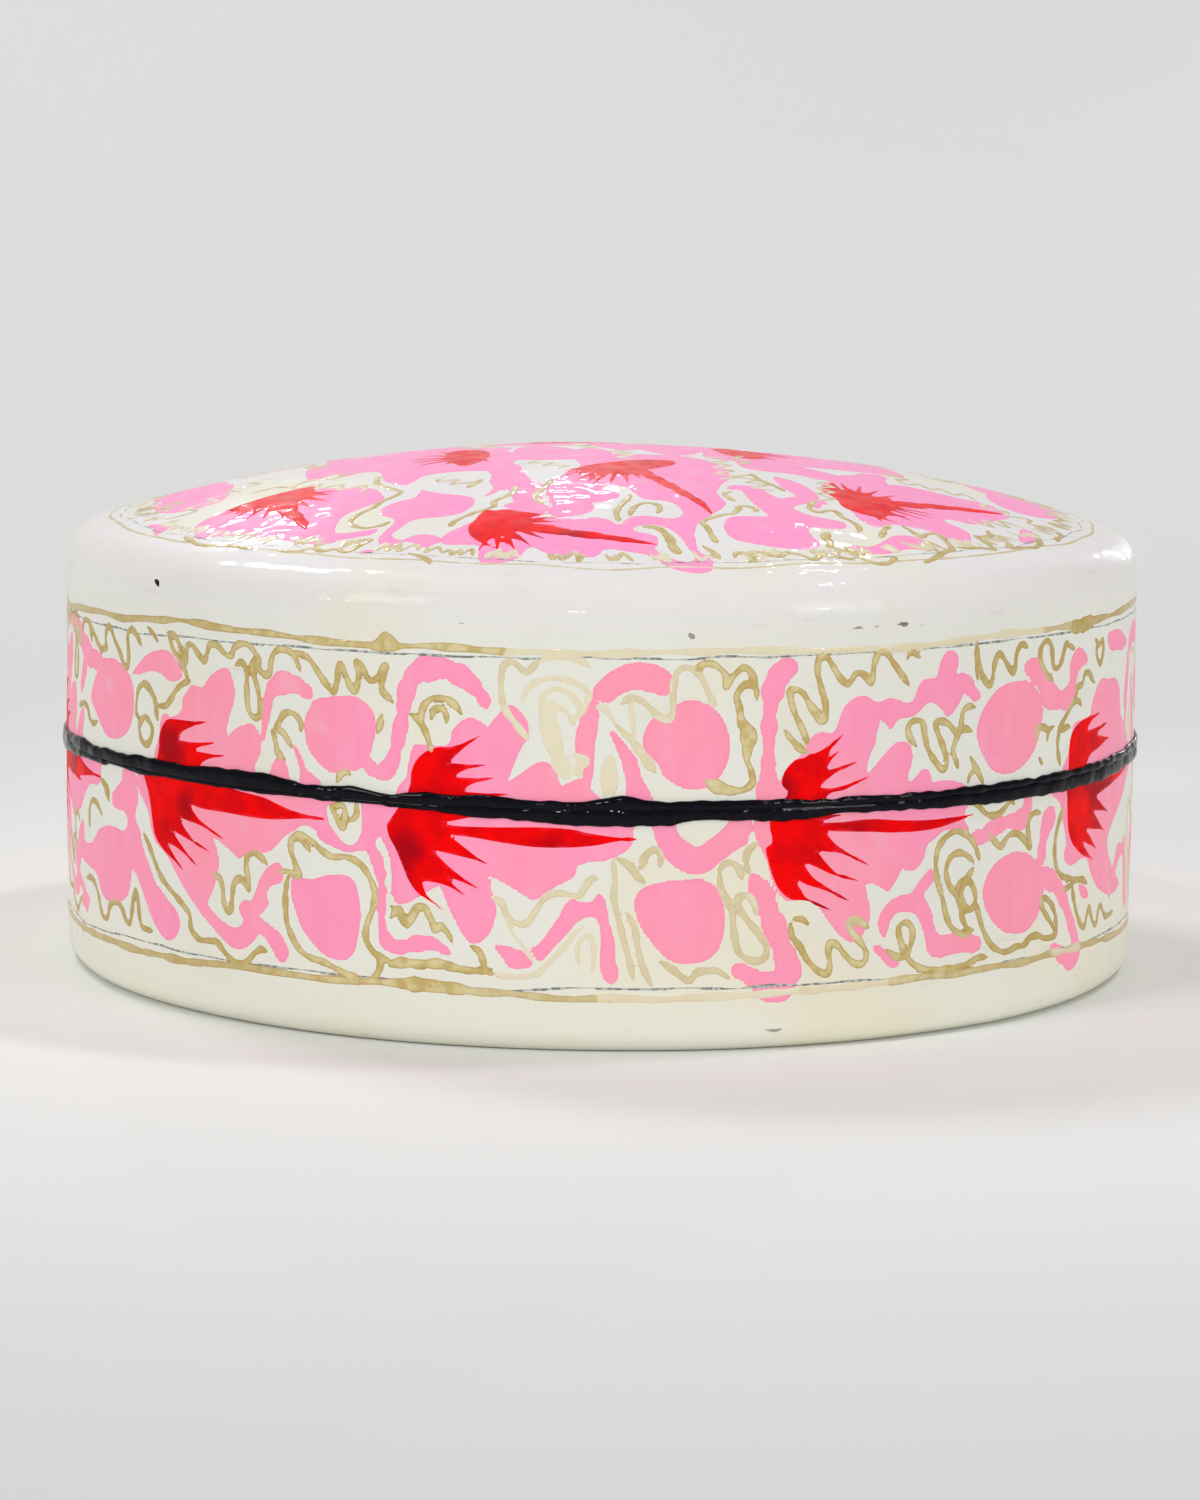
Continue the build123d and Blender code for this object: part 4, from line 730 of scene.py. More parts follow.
        [(-32, -12.5), (-30, -11.6), (-28.4, -12.6), (-26.6, -11), (-24.4, -12), (-23.4, -9.8)],
        [(12.6, -8), (13.4, -5.4), (12.2, -3.4), (13, -1)],
        [(27, -5.6), (28.2, -3.2), (26.4, -1.6), (28, 0.6)],
        [(41.6, -8), (42.6, -5.4), (41.4, -3.6), (42.8, -1.2)],
    ),
}

# Gilt zigzags between the lid's pinks, as (start, end, sway, bends)
DOME_SQUIGGLES = (
    ((-38.6, -17), (-31, -3), 1.1, 9), ((-28.4, -12.6), (-21, -19), 0.9, 7),
    ((-15, -17.6), (-11.6, -21.4), 0.8, 5), ((-6.6, -10), (-3.4, -14.4), 0.9, 5),
    ((1.6, -1), (2.2, -8), 0.7, 6), ((10.4, -3), (11.4, -17), 0.8, 9), ((12.6, -14), (14.6, -21), 0.8, 6),
    ((20.2, -13), (19.8, -23), 0.7, 7), ((27, -6.6), (34.4, -7), 1.1, 7), ((34.4, -10), (40.4, -14), 1.1, 6),
    ((33.4, -20.6), (37.4, -16.6), 1, 5), ((-43, -11), (-41.6, -2), 0.6, 6),
)
# Radius of the lid's gilt ring, and of the pencil ring inside it
RING_RADIUS = 45.9
INNER_RING_RADIUS = 44.8

# Drips of gilt on the lines round the side
GILT_DRIPS = (
    Blob([(-20.4, 34.1), (-19.5, 34.8), (-18.8, 35.5), (-18.1, 35.3), (-17.3, 34.6), (-17.2, 34.0),
          (-19, 33.7)]),
    Stroke([(48.6, 34.5, 0.8), (50.4, 34.3, 1.5), (52.4, 34.5, 1.2), (54, 34.7, 0.6)], 1, 0),
    Stroke([(-18.5, 5.4, 0.8), (-15, 5.4, 1.3), (-11, 5.2, 0.9)], 1, 0),
)
# The chip on the shoulder, and scuffs in the varnish
SCUFFS = (
    Stroke([(-45.1, 37.95, 0.35), (-44.6, 37.75, 0.8), (-44.3, 37.5, 0.45)], 0.5, 1),
    Stroke([(7.3, 35.95, 0.3), (7.6, 35.7, 0.7), (7.9, 35.6, 0.3)], 0.5, 0.3),
    Stroke([(21.8, 36.0, 0.15), (22.6, 36.1, 0.3), (23.2, 36.0, 0.15)], 0.3, 0.2),
    Stroke([(23.9, 36.15, 0.2), (24.3, 36.1, 0.35), (24.7, 36.2, 0.15)], 0.3, 0.1),
    Stroke([(26.2, 36.1, 0.15), (26.8, 36.2, 0.35), (27.3, 36.15, 0.5), (27.8, 36.3, 0.2)], 0.3, 0.5),
    Stroke([(28.6, 36.0, 0.2), (29.2, 36.05, 0.3)], 0.3, 0.1),
    Stroke([(3.2, 36.4, 0.2), (3.5, 36.4, 0.3)], 0.3, 0.3),
    Stroke([(-12.1, 36.5, 0.2), (-11.6, 36.5, 0.3)], 0.3, 0.2),
    Stroke([(14.6, 1.9, 0.2), (15.4, 1.8, 0.3), (16.2, 2.0, 0.2)], 0.3, 0.2),
)

# How a paint stands off what it lies on, how far in from its edge it reaches that, and its mesh's step
Paint = namedtuple("Paint", "height edge step")
PINK = Paint(0.026, 0.30, 0.28)
RED = Paint(0.028, 0.22, 0.16)
GILT = Paint(0.045, 0.32, 0.20)
PENCIL = Paint(0.02, 0.12, 0.16)
SUNK = 0.012  # how far the edge of a paint is dipped under what it lies on
REACH = 0.8  # how far from the edge of a shape its depth is worked out
CURVE_STEPS = 5  # points along a curve from one given point to the next
LINE_POINTS = 289  # points along a line once round the box
WAVES = 9  # waves that make up a smooth unevenness
WISP = ((-1.4, 0.4), (-0.3, 0.22), (0.6, 0.05))  # a flick of the brush, as (way past a corner, width)
WISP_TURN = -0.3  # a corner has a wisp if the cosine between the ways before and after it is below this
TINY = 1e-9

# Where the painted faces end, and the bare strip on either side of the parting line, under the lacquer
SIDE_LOW = 0.1
SIDE_TOP = 38.1
TOP_EDGE = 47.0
PAINT_GAP = 0.15


def ripple(u, shortest, longest, size, seed, across=0):
    """Smooth unevenness round the box, about size large, in wavelengths between shortest and longest.

    Its waves lie aslant, which shows where across, a way along the axis, differs."""
    random = np.random.default_rng(seed)
    total = 0
    for _ in range(WAVES):
        turns = random.integers(ceil(ROUND / longest), int(ROUND / shortest))
        slope = random.uniform(-1, 1) * turns / RADIUS
        total = total + np.sin(turns * u / RADIUS + slope * across + random.uniform(0, 2 * pi))
    return size * total / sqrt(WAVES / 2)


def lump(points):
    """How far the hand-smoothed surface stands off its true shape at points, an array of (x, y, z)."""
    steepness = 0.0014
    random = np.random.default_rng(seed=11)
    total = 0
    for _ in range(WAVES):
        length = random.uniform(9, 36)
        way = random.normal(size=3)
        way *= 2 * pi / length / np.linalg.norm(way)
        total = total + steepness * length * np.sin(points @ way + random.uniform(0, 2 * pi))
    return total


def smooth_line(points, closed):
    """Points along a curve through points of any numbers, with a sharp turn at each one that ends in T."""
    sharp = [point[-1] == T for point in points]
    values = np.array([point[:-1] if turn else point for point, turn in zip(points, sharp)], float)
    count = len(values)
    spans = count if closed else count - 1
    t = np.linspace(0, 1, CURVE_STEPS, endpoint=False)[:, None]
    line = []
    for i in range(spans):
        j = (i + 1) % count
        start = values[i]
        end = values[j]
        before = start if sharp[i] or not (closed or i) else values[i - 1]
        after = end if sharp[j] or not (closed or j < spans) else values[(j + 1) % count]
        line.append(start + 0.5 * (t * (end - before) + t**2 * (2 * before - 5 * start + 4 * end - after)
                                   + t**3 * (3 * start - before - 3 * end + after)))
    line.append(values[:1] if closed else values[-1:])
    return np.concatenate(line)


def pressure(line):
    """How hard the brush presses along a line of (place, place, width): unevenly, and lightly at the ends."""
    lift = 1.1
    run = np.concatenate([[0], np.cumsum(np.hypot(*np.diff(line[:, :2], axis=0).T))])
    to_end = np.minimum(run, run[-1] - run)
    uneven = 0.13 * np.sin(1.9 * run + 7 * line[0, 0]) + 0.09 * np.sin(4.3 * run + 5 * line[0, 1])
    return (1 + uneven) * np.clip(0.5 + to_end / lift, 0, 1)


def wisps(shape):
    """Fine strokes on from the sharp corners of an outline, where the brush was flicked off."""
    corners = np.array([point[:2] for point in shape.points])
    ahead = np.roll(corners, -1, axis=0)
    along = ahead - corners
    headings = along / np.hypot(*along.T)[:, None]
    turning = np.sign(np.sum(corners[:, 0] * ahead[:, 1] - corners[:, 1] * ahead[:, 0]))
    out = []
    for corner, before, after in zip(corners, np.roll(headings, 1, axis=0), headings):
        sticks_out = turning * (before[0] * after[1] - before[1] * after[0]) > 0
        if sticks_out and before @ after < WISP_TURN:
            tip = (before - after) / np.hypot(*(before - after))
            line = [(*(corner + past * tip), width) for past, width in WISP]
            out.append(Stroke(line, WISP[0][1], 0))
    return out


def traced(shape):
    """The smooth line of a shape, the brush's radius along it, which is 0 for an outline, and its tone."""
    if not isinstance(shape, Stroke):
        line = smooth_line(shape.points, closed=True)
        return line, np.zeros(len(line)), 0
    points = [(*point, shape.width) if len(point) == 2 else point for point in shape.points]
    line = smooth_line(points, closed=False)
    radius = line[:, 2] / 2 * (1 if isinstance(shape, Line) else pressure(line))
    return line[:, :2], radius, shape.tone


def brush_depth(line, radius, x, y):
    """How deep the places of a grid lie under a brush drawn along line, and the nearest place on its edge."""
    depth = np.full((len(y), len(x)), -REACH)
    edge = np.zeros((2,) + depth.shape)
    for (x0, y0), (x1, y1), radius0, radius1 in zip(line, line[1:], radius, radius[1:]):
        reach = max(radius0, radius1) + REACH
        columns = slice(*np.searchsorted(x, (min(x0, x1) - reach, max(x0, x1) + reach)))
        rows = slice(*np.searchsorted(y, (min(y0, y1) - reach, max(y0, y1) + reach)))
        to_x = x[columns][None, :] - x0
        to_y = y[rows][:, None] - y0
        length = max((x1 - x0) ** 2 + (y1 - y0) ** 2, TINY)
        along = np.clip((to_x * (x1 - x0) + to_y * (y1 - y0)) / length, 0, 1)
        away_x = to_x - along * (x1 - x0)
        away_y = to_y - along * (y1 - y0)
        away = np.maximum(np.hypot(away_x, away_y), TINY)
        reached = radius0 + along * (radius1 - radius0)
        here = reached - away
        deeper = here > depth[rows, columns]
        depth[rows, columns][deeper] = here[deeper]
        edge[0, rows, columns][deeper] = (x0 + to_x - away_x + away_x / away * reached)[deeper]
        edge[1, rows, columns][deeper] = (y0 + to_y - away_y + away_y / away * reached)[deeper]
    return depth, edge


def inside_outline(line, x, y):
    """Which places of a grid lie inside a closed line."""
    crossings = np.zeros((len(y), len(x) + 1), int)
    for (x0, y0), (x1, y1) in zip(line, line[1:]):
        rows = np.arange(*np.searchsorted(y, (min(y0, y1), max(y0, y1))))
        if len(rows):
            crossed = x0 + (y[rows] - y0) * (x1 - x0) / (y1 - y0)
            np.add.at(crossings, (rows, np.searchsorted(x, crossed)), 1)
    return np.cumsum(crossings[:, :-1], axis=1) % 2 == 1


class Coat:
    """One paint over one face of the box, as depths inside its shapes on a grid of places."""

    def __init__(self, paint, place, low, high, wraps, under):
        columns = int((high[0] - low[0]) / paint.step) + 1
        rows = int((high[1] - low[1]) / paint.step) + 1
        across = columns if wraps else columns - 1
        self.paint = paint
        self.place = place
        self.low = low
        self.wraps = wraps
        self.under = under
        self.step = ((high[0] - low[0]) / across, (high[1] - low[1]) / (rows - 1))
        self.depth = np.full((rows, columns), -REACH)
        self.edge = np.zeros((2, rows, columns))
        self.tone = np.zeros((rows, columns))

    def near(self, line, reach):
        """Rows and columns of the grid within reach of a line."""
        rows, columns = self.depth.shape
        first = np.floor((line.min(0) - reach - self.low) / self.step).astype(int)
        last = np.ceil((line.max(0) + reach - self.low) / self.step).astype(int)
        row = np.arange(max(first[1], 0), min(last[1] + 1, rows))
        column = np.arange(first[0], last[0] + 1)
        if not self.wraps:
            column = column[(column >= 0) & (column < columns)]
        return row, column

    def add(self, shape):
        """Lays a stroke or a blob over what is there, or takes a hole out of it."""
        line, radius, tone = traced(shape)
        row, column = self.near(line, radius.max() + REACH)
        if not len(row) or not len(column):
            return
        x = self.low[0] + self.step[0] * column
        y = self.low[1] + self.step[1] * row
        depth, edge = brush_depth(line, radius, x, y)
        if not isinstance(shape, Stroke):
            depth = np.where(inside_outline(line, x, y), -depth, depth)
        at = np.ix_(row, column % self.depth.shape[1])
        if isinstance(shape, Hole):
            depth = -depth
            changed = depth < self.depth[at]
        else:
            changed = depth > self.depth[at]
        self.depth[at] = np.where(changed, depth, self.depth[at])
        self.edge[0][at] = np.where(changed, edge[0], self.edge[0][at])
        self.edge[1][at] = np.where(changed, edge[1], self.edge[1][at])
        self.tone[at] = np.where(changed, tone, self.tone[at])

    def height(self, depth):
        """Height of the paint's rounded section, depth in from its edge."""
        rise = np.clip(depth / self.paint.edge, 0, 1)
        return self.paint.height * np.sqrt(rise * (2 - rise))

    def height_at(self, x, y):
        """Height of the paint at any places, between those of its grid."""
        short = 1.001  # keeps a place just short of the grid's last line, so that there is one beyond it
        rows, columns = self.depth.shape
        column = (x - self.low[0]) / self.step[0]
        column = column % columns if self.wraps else np.clip(column, 0, columns - short)
        row = np.clip((y - self.low[1]) / self.step[1], 0, rows - short)
        left = column.astype(int)
        low = row.astype(int)
        right = (left + 1) % columns
        share = column - left
        grid = self.height(np.maximum(self.depth, 0))
        lower = grid[low, left] * (1 - share) + grid[low, right] * share
        upper = grid[low + 1, left] * (1 - share) + grid[low + 1, right] * share
        return lower + (upper - lower) * (row - low)

    def sheet(self, name, material, body):
        """Adds the coat as a thin raised mesh that follows the surface, its edge dipped just under it."""
        rows, columns = self.depth.shape
        inside = self.depth > 0
        beside = np.roll(inside, -1, axis=1)
        if not self.wraps:
            beside[:, -1] = False
            inside[:, -1] = False
        row, column = np.nonzero(inside[:-1] | inside[1:] | beside[:-1] | beside[1:])
        along = (column + 1) % columns
        corners = np.stack([row * columns + column, row * columns + along,
                            (row + 1) * columns + along, (row + 1) * columns + column], axis=1)
        used, faces = np.unique(corners, return_inverse=True)
        used_row, used_column = np.divmod(used, columns)
        depth = np.maximum(self.depth[used_row, used_column], 0)
        x = self.low[0] + self.step[0] * used_column
        y = self.low[1] + self.step[1] * used_row
        x = np.where(depth > 0, x, self.edge[0, used_row, used_column])
        y = np.where(depth > 0, y, self.edge[1, used_row, used_column])
        height = self.height(depth) - SUNK
        for coat in self.under:
            height = height + coat.height_at(x, y)
        piece = add_mesh(name, self.place(x, y, height), faces.reshape(-1, 4), [material], body)
        crossed = np.zeros_like(x)
        if self.under:
            pink = self.under[0]
            crossed = pink.height_at(x, y) / pink.paint.height
        set_points(piece, "depth", depth)
        set_points(piece, "tone", self.tone[used_row, used_column])
        set_points(piece, "crossed", crossed)
        close_points(piece)


def add_mesh(name, points, faces, materials, body, indices=None):
    """A smooth mesh object that rides on a body. Its points come in millimetres."""
    mesh = bpy.data.meshes.new(name)
    mesh.from_pydata((np.asarray(points) * MM).tolist(), [], [list(map(int, face)) for face in faces])
    for material in materials:
        mesh.materials.append(material)
    if indices is not None:
        mesh.polygons.foreach_set("material_index", indices)
    mesh.shade_smooth()
    piece = bpy.data.objects.new(name, mesh)
    bpy.context.scene.collection.objects.link(piece)
    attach(piece, body)
    return piece


def set_points(piece, name, values):
    """Stores a number for each point of a piece, for its material to read."""
    attribute = piece.data.attributes.new(name, "FLOAT", "POINT")
    attribute.data.foreach_set("value", np.asarray(values, np.float32))


def close_points(piece):
    """Merges the points of a piece that fell on one place."""
    edited = bmesh.new()
    edited.from_mesh(piece.data)
    bmesh.ops.remove_doubles(edited, verts=edited.verts, dist=0.01 * MM)
    edited.to_mesh(piece.data)
    edited.free()


def fillet_centre(crown, wall, fillet):
    """Radius and height of the centre of a rounding between a crown and an upright wall inside it."""
    return wall - fillet, CROWN_CENTRE + sqrt((crown - fillet) ** 2 - (wall - fillet) ** 2)


SHOULDER_CENTRE = fillet_centre(CROWN, RADIUS, SHOULDER)


def outward(angle):
    """Level directions out from the axis, at angles to the right from the middle of the front."""
    return np.stack([np.sin(angle), -np.cos(angle), np.zeros_like(angle)], axis=-1)


def on_side(u, z, height):
    """Points of the side at places round it, height out from its lumpy surface."""
    above = np.clip(z - SHOULDER_CENTRE[1], 0, SHOULDER)
    radius = RADIUS - SHOULDER + np.sqrt(SHOULDER**2 - above**2)
    out = outward(u / RADIUS)
    surface = out * radius[:, None]
    surface[:, 2] = z
    return surface + out * (height + lump(surface))[:, None]


def on_dome(x, y, height):
    """Points of the crown at places seen from above, height out from its lumpy surface."""
    surface = np.stack([x, y, np.sqrt(CROWN**2 - x**2 - y**2)], axis=-1)
    out = surface / CROWN
    surface[:, 2] += CROWN_CENTRE
    return surface + out * (height + lump(surface))[:, None]


def domed(crown, wall, fillet):
    """Section points from the axis over a crown, round its shoulder and down to the dome's lower end.

    Each is (radius, height, lean), where lean is how far the outward direction tips up from level."""
    centre = fillet_centre(crown, wall, fillet)
    turn = atan2(centre[1] - CROWN_CENTRE, centre[0])
    over_crown = int(wall)  # points, which puts them about a millimetre apart
    section = []
    for lean in np.linspace(pi / 2, turn, over_crown):
        section.append((crown * cos(lean), CROWN_CENTRE + crown * sin(lean), lean))
    for lean in np.linspace(turn, 0, 12)[1:]:
        section.append((centre[0] + fillet * cos(lean), centre[1] + fillet * sin(lean), lean))
    section.append((wall, SKIRT_LOW, 0))
    return section


def straight(radius, start, end):
    """Section points up or down an upright wall, at most a millimetre apart."""
    return [(radius, z, 0) for z in np.linspace(start, end, ceil(abs(end - start)) + 1)]


def ring_faces(rings, columns, closed):
    """Faces from each ring of points to the next, and from the last to the first if closed."""
    faces = []
    for ring in range(rings if closed else rings - 1):
        after = (ring + 1) % rings
        for column in range(columns):
            beside = (column + 1) % columns
            faces.append([ring * columns + column, after * columns + column,
                          after * columns + beside, ring * columns + beside])
    return faces


def add_shell(name, outside, inside, body, node):
    """Adds a closed shell made by turning a section round the axis, painted outside and black inside.

    A section that starts and ends on the axis closes there, and any other one closes on itself."""
    columns = 360
    around = outward(2 * pi * np.arange(columns) / columns)
    up = np.array((0, 0, 1))
    rings = []
    for number, (radius, height, lean) in enumerate(outside + inside):
        surface = around * radius + up * height
        if number < len(outside):
            out = around * cos(lean) + up * sin(lean)
            surface = surface + out * (lump(surface) * cos(min(lean, 0)))[:, None]
        rings.append(surface)
    faces = ring_faces(len(rings), columns, closed=outside[0][0] > TINY)
    painted = (len(outside) - 1) * columns
    indices = [0 if face < painted else 1 for face in range(len(faces))]
    piece = add_mesh(name, np.concatenate(rings), faces, [GROUND, LINING], body, indices)
    close_points(piece)
    piece.data.set_sharp_from_angle(angle=radians(40))
    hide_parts(node)


def add_shells():
    """The three painted shells."""
    add_shell("lid_dome_painted", domed(CROWN, RADIUS, SHOULDER),
              domed(CROWN - DOME_THICKNESS, INNER_RADIUS, DOME_INSIDE_FILLET)[::-1], "lid", "lid_dome")
    add_shell("lid_wall_painted", straight(RADIUS, SKIRT_LOW, PARTING + FILM),
              straight(INNER_RADIUS, PARTING + FILM, SKIRT_LOW), "lid", "lid_wall")
    outside = straight(RADIUS, PARTING - FILM, FOOT)
    for lean in np.linspace(0, -pi / 2, 9)[1:]:
        outside.append((RADIUS - FOOT + FOOT * cos(lean), FOOT + FOOT * sin(lean), lean))
    outside.append((INNER_RADIUS, 0, -pi / 2))
    inside = straight(INNER_RADIUS, FLOOR_TOP, PARTING - FILM)
    add_shell("base_wall_painted", outside, inside, "base", "base_wall")


def add_bead(name, direction, body, node):
    """Adds uneven lacquer over the wall's rim and in a ridge up (1) or down (-1) from the parting line."""
    edge = 1 if direction < 0 else 2
    columns = 1300
    proud = 0.36
    sunk = 0.12
    thinnest = FILM + 0.12
    full_extent = 0.7
    start = 0.7
    u = ROUND * np.arange(columns) / columns
    out = outward(u / RADIUS)
    places = [line[0] for line in BLACK_LINE]
    wanted = np.interp(u, places, [line[edge] for line in BLACK_LINE], period=ROUND)
    extent = np.abs(wanted - PARTING) + ripple(u, 1.6, 6, 0.03, 21 + edge) + ripple(u, 5, 18, 0.05, 24 + edge)
    extent = np.maximum(extent, thinnest)
    thick = proud * (1 + ripple(u, 3, 14, 0.10, 31 + edge)) * np.clip(extent / full_extent, 0.6, 1)
    wall = RADIUS + lump(out * RADIUS + np.array((0, 0, PARTING)))
    inner = np.full(columns, INNER_RADIUS)
    level = np.full(columns, PARTING)
    rings = [(inner, level), (wall, level)]
    for turn in np.linspace(start, pi, 11):
        down = (cos(start) - cos(turn)) / (1 + cos(start))
        knobbly = ripple(u, 1.2, 4, 0.010, 41 + edge, across=extent * down)
        rings.append((wall + (thick + knobbly) * sin(turn) ** 0.5, PARTING + direction * extent * down))
    rings.append((wall - sunk, PARTING + direction * extent))
    rings.append((wall - sunk, level + direction * FILM))
    rings.append((inner, level + direction * FILM))
    points = []
    for radius, z in rings:
        surface = out * radius[:, None]
        surface[:, 2] = z
        points.append(surface)
    faces = [corners[::-direction] for corners in ring_faces(len(rings), columns, closed=True)]
    piece = add_mesh(name, np.concatenate(points), faces, [LACQUER], body)
    piece.data.set_sharp_from_angle(angle=radians(60))
    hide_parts(node)


def moved(shape, move):
    """The shape with every place passed through move, its widths and corners kept."""
    return shape._replace(points=[(*move(point[0], point[1]), *point[2:]) for point in shape.points])


def further_round(way, number):
    """A move along the side by way, with the small differences of a repeat drawn by hand."""
    def move(u, z):
        drift = 0.6 * sin(0.21 * u + 2.1 * number) + 0.3 * sin(0.5 * z + number)
        lift = 0.4 * sin(0.17 * u + 0.3 * z + 1.7 * number)
        return u + way + drift, z + lift * min(1, abs(z - PARTING) / 4)
    return move


def half_turn(x, y):
    """A move to the far half of the lid, with the small differences of a repeat drawn by hand."""
    return -x + 0.7 * sin(0.2 * y + 1), -y + 0.6 * sin(0.17 * x)


def side_shapes(paint):
    """All shapes of one paint round the side."""
    shapes = [shape for motif in SEEN for shape in motif[paint]]
    for number, (motif, way) in enumerate(REPEATS):
        move = further_round(way, number)
        shapes += [moved(shape, move) for shape in motif[paint]]
    if paint == "red":
        shapes += [wisp for shape in shapes if isinstance(shape, Blob) for wisp in wisps(shape)]
    return shapes


def squiggle(start, end, sway, bends):
    """A pale gilt zigzag from one place on the lid to another."""
    width = 0.5
    faint = 0.35
    start = np.array(start)
    along = np.array(end) - start
    aside = sway * np.array([-along[1], along[0]]) / np.hypot(*along)
    line = [(*(start + along * bend / bends + aside * (-1) ** bend), width) for bend in range(bends + 1)]
    return Stroke(line, width, faint)


def dome_shapes(paint):
    """All shapes of one paint on the lid: the near half, and the far half turned round from it."""
    near = list(DOME[paint])
    if paint == "gilt":
        near += [squiggle(*places) for places in DOME_SQUIGGLES]
    return near + [moved(shape, half_turn) for shape in near]


def in_pieces(line, width, faint):
    """A long line, and how faint it is at each of its points, as short lines that overlap at their ends."""
    length = 8
    overlap = 2
    return [Line(line[start:start + length + overlap], width, faint[start])
            for start in range(0, len(line) - 1, length)]


def level_line(places, width, seed, faint=((0, 0),)):
    """Lines once round the side through (u, z) places."""
    u = np.linspace(-ROUND / 2, ROUND / 2, LINE_POINTS)
    z = np.interp(u, *zip(*places), period=ROUND) + ripple(u, 6, 40, 0.05, seed)
    wide = width * (1 + ripple(u, 3, 14, 0.14, seed + 1))
    return in_pieces(list(zip(u, z, wide)), width, np.interp(u, *zip(*faint), period=ROUND))


def ring_line(radius, width, seed, faint=0.0):
    """Lines once round the lid at about a radius, a little further out at the back than at the front."""
    u = np.linspace(-ROUND / 2, ROUND / 2, LINE_POINTS)
    out = radius + ripple(u, 8, 60, 0.12, seed) - 0.25 * np.cos(u / RADIUS)
    wide = width * (1 + ripple(u, 3, 14, 0.2, seed + 1))
    line = list(zip(out * np.sin(u / RADIUS), -out * np.cos(u / RADIUS), wide))
    return in_pieces(line, width, np.full(len(u), faint))


def ring_scribble():
    """Small pale loops and zigzags crowded just inside the lid's ring, with a dot here and there."""
    middle = 43.1
    radian = 43.4  # the way along it that makes an angle of one
    random = np.random.default_rng(seed=5)
    shapes = []
    angle = -pi
    while angle < pi:
        line = []
        for step in range(random.integers(5, 11)):
            out = middle + random.uniform(0.2, 1.3) * (1 if step % 2 else -1)
            line.append((out * sin(angle), -out * cos(angle), random.uniform(0.3, 0.55)))
            angle += random.uniform(0.1, 0.9) / radian
        shapes.append(Stroke(line, 0.4, random.uniform(0.2, 0.7)))
        angle += random.uniform(0.2, 2) / radian
    return shapes


def side_paints(pencil_line, gilt_line):
    """The shapes of every paint on the side, with the lines of its lower or its upper half."""
    shapes = {paint: side_shapes(paint) for paint in ("pink", "red", "gilt")}
    shapes["gilt"] += [*gilt_line, *GILT_DRIPS]
    return {**shapes, "pencil": pencil_line, "scuff": SCUFFS}


def lid_top_paints():
    """The shapes of every paint on the lid's top, with its gilt ring and the pencil ring inside it."""
    shapes = {paint: dome_shapes(paint) for paint in ("pink", "red", "gilt")}
    shapes["gilt"] += [*ring_line(RING_RADIUS, width=0.36, seed=63, faint=0.45), *ring_scribble()]
    return {**shapes, "pencil": ring_line(INNER_RING_RADIUS, width=0.22, seed=61)}


def paint_face(face, body, place, low, high, paints):
    """Lays every paint on one face of the box, each over the pink and the red before it."""
    wraps = place is on_side
    under = []
    for paint, shapes in paints.items():
        kind, material, slot = PAINTS[paint]
        coat = Coat(kind, place, low, high, wraps, list(under))
        for shape in sorted(shapes, key=lambda shape: isinstance(shape, Hole)):
            coat.add(shape)
        coat.sheet(f"{face}_{paint}", material, body)
        if paint in ("pink", "red"):
            under.append(coat)


def dress_solid(node, material):
    """Gives a solid of the frame, which is shown as it is, its material and smooth shading."""
    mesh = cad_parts[node].data
    mesh.materials.clear()
    mesh.materials.append(material)
    mesh.shade_smooth()
    mesh.set_sharp_from_angle(angle=radians(30))


def srgb(red, green, blue):
    """A colour from screen values of 0 to 255."""
    return (*[((part / 255 + 0.055) / 1.055) ** 2.4 for part in (red, green, blue)], 1)


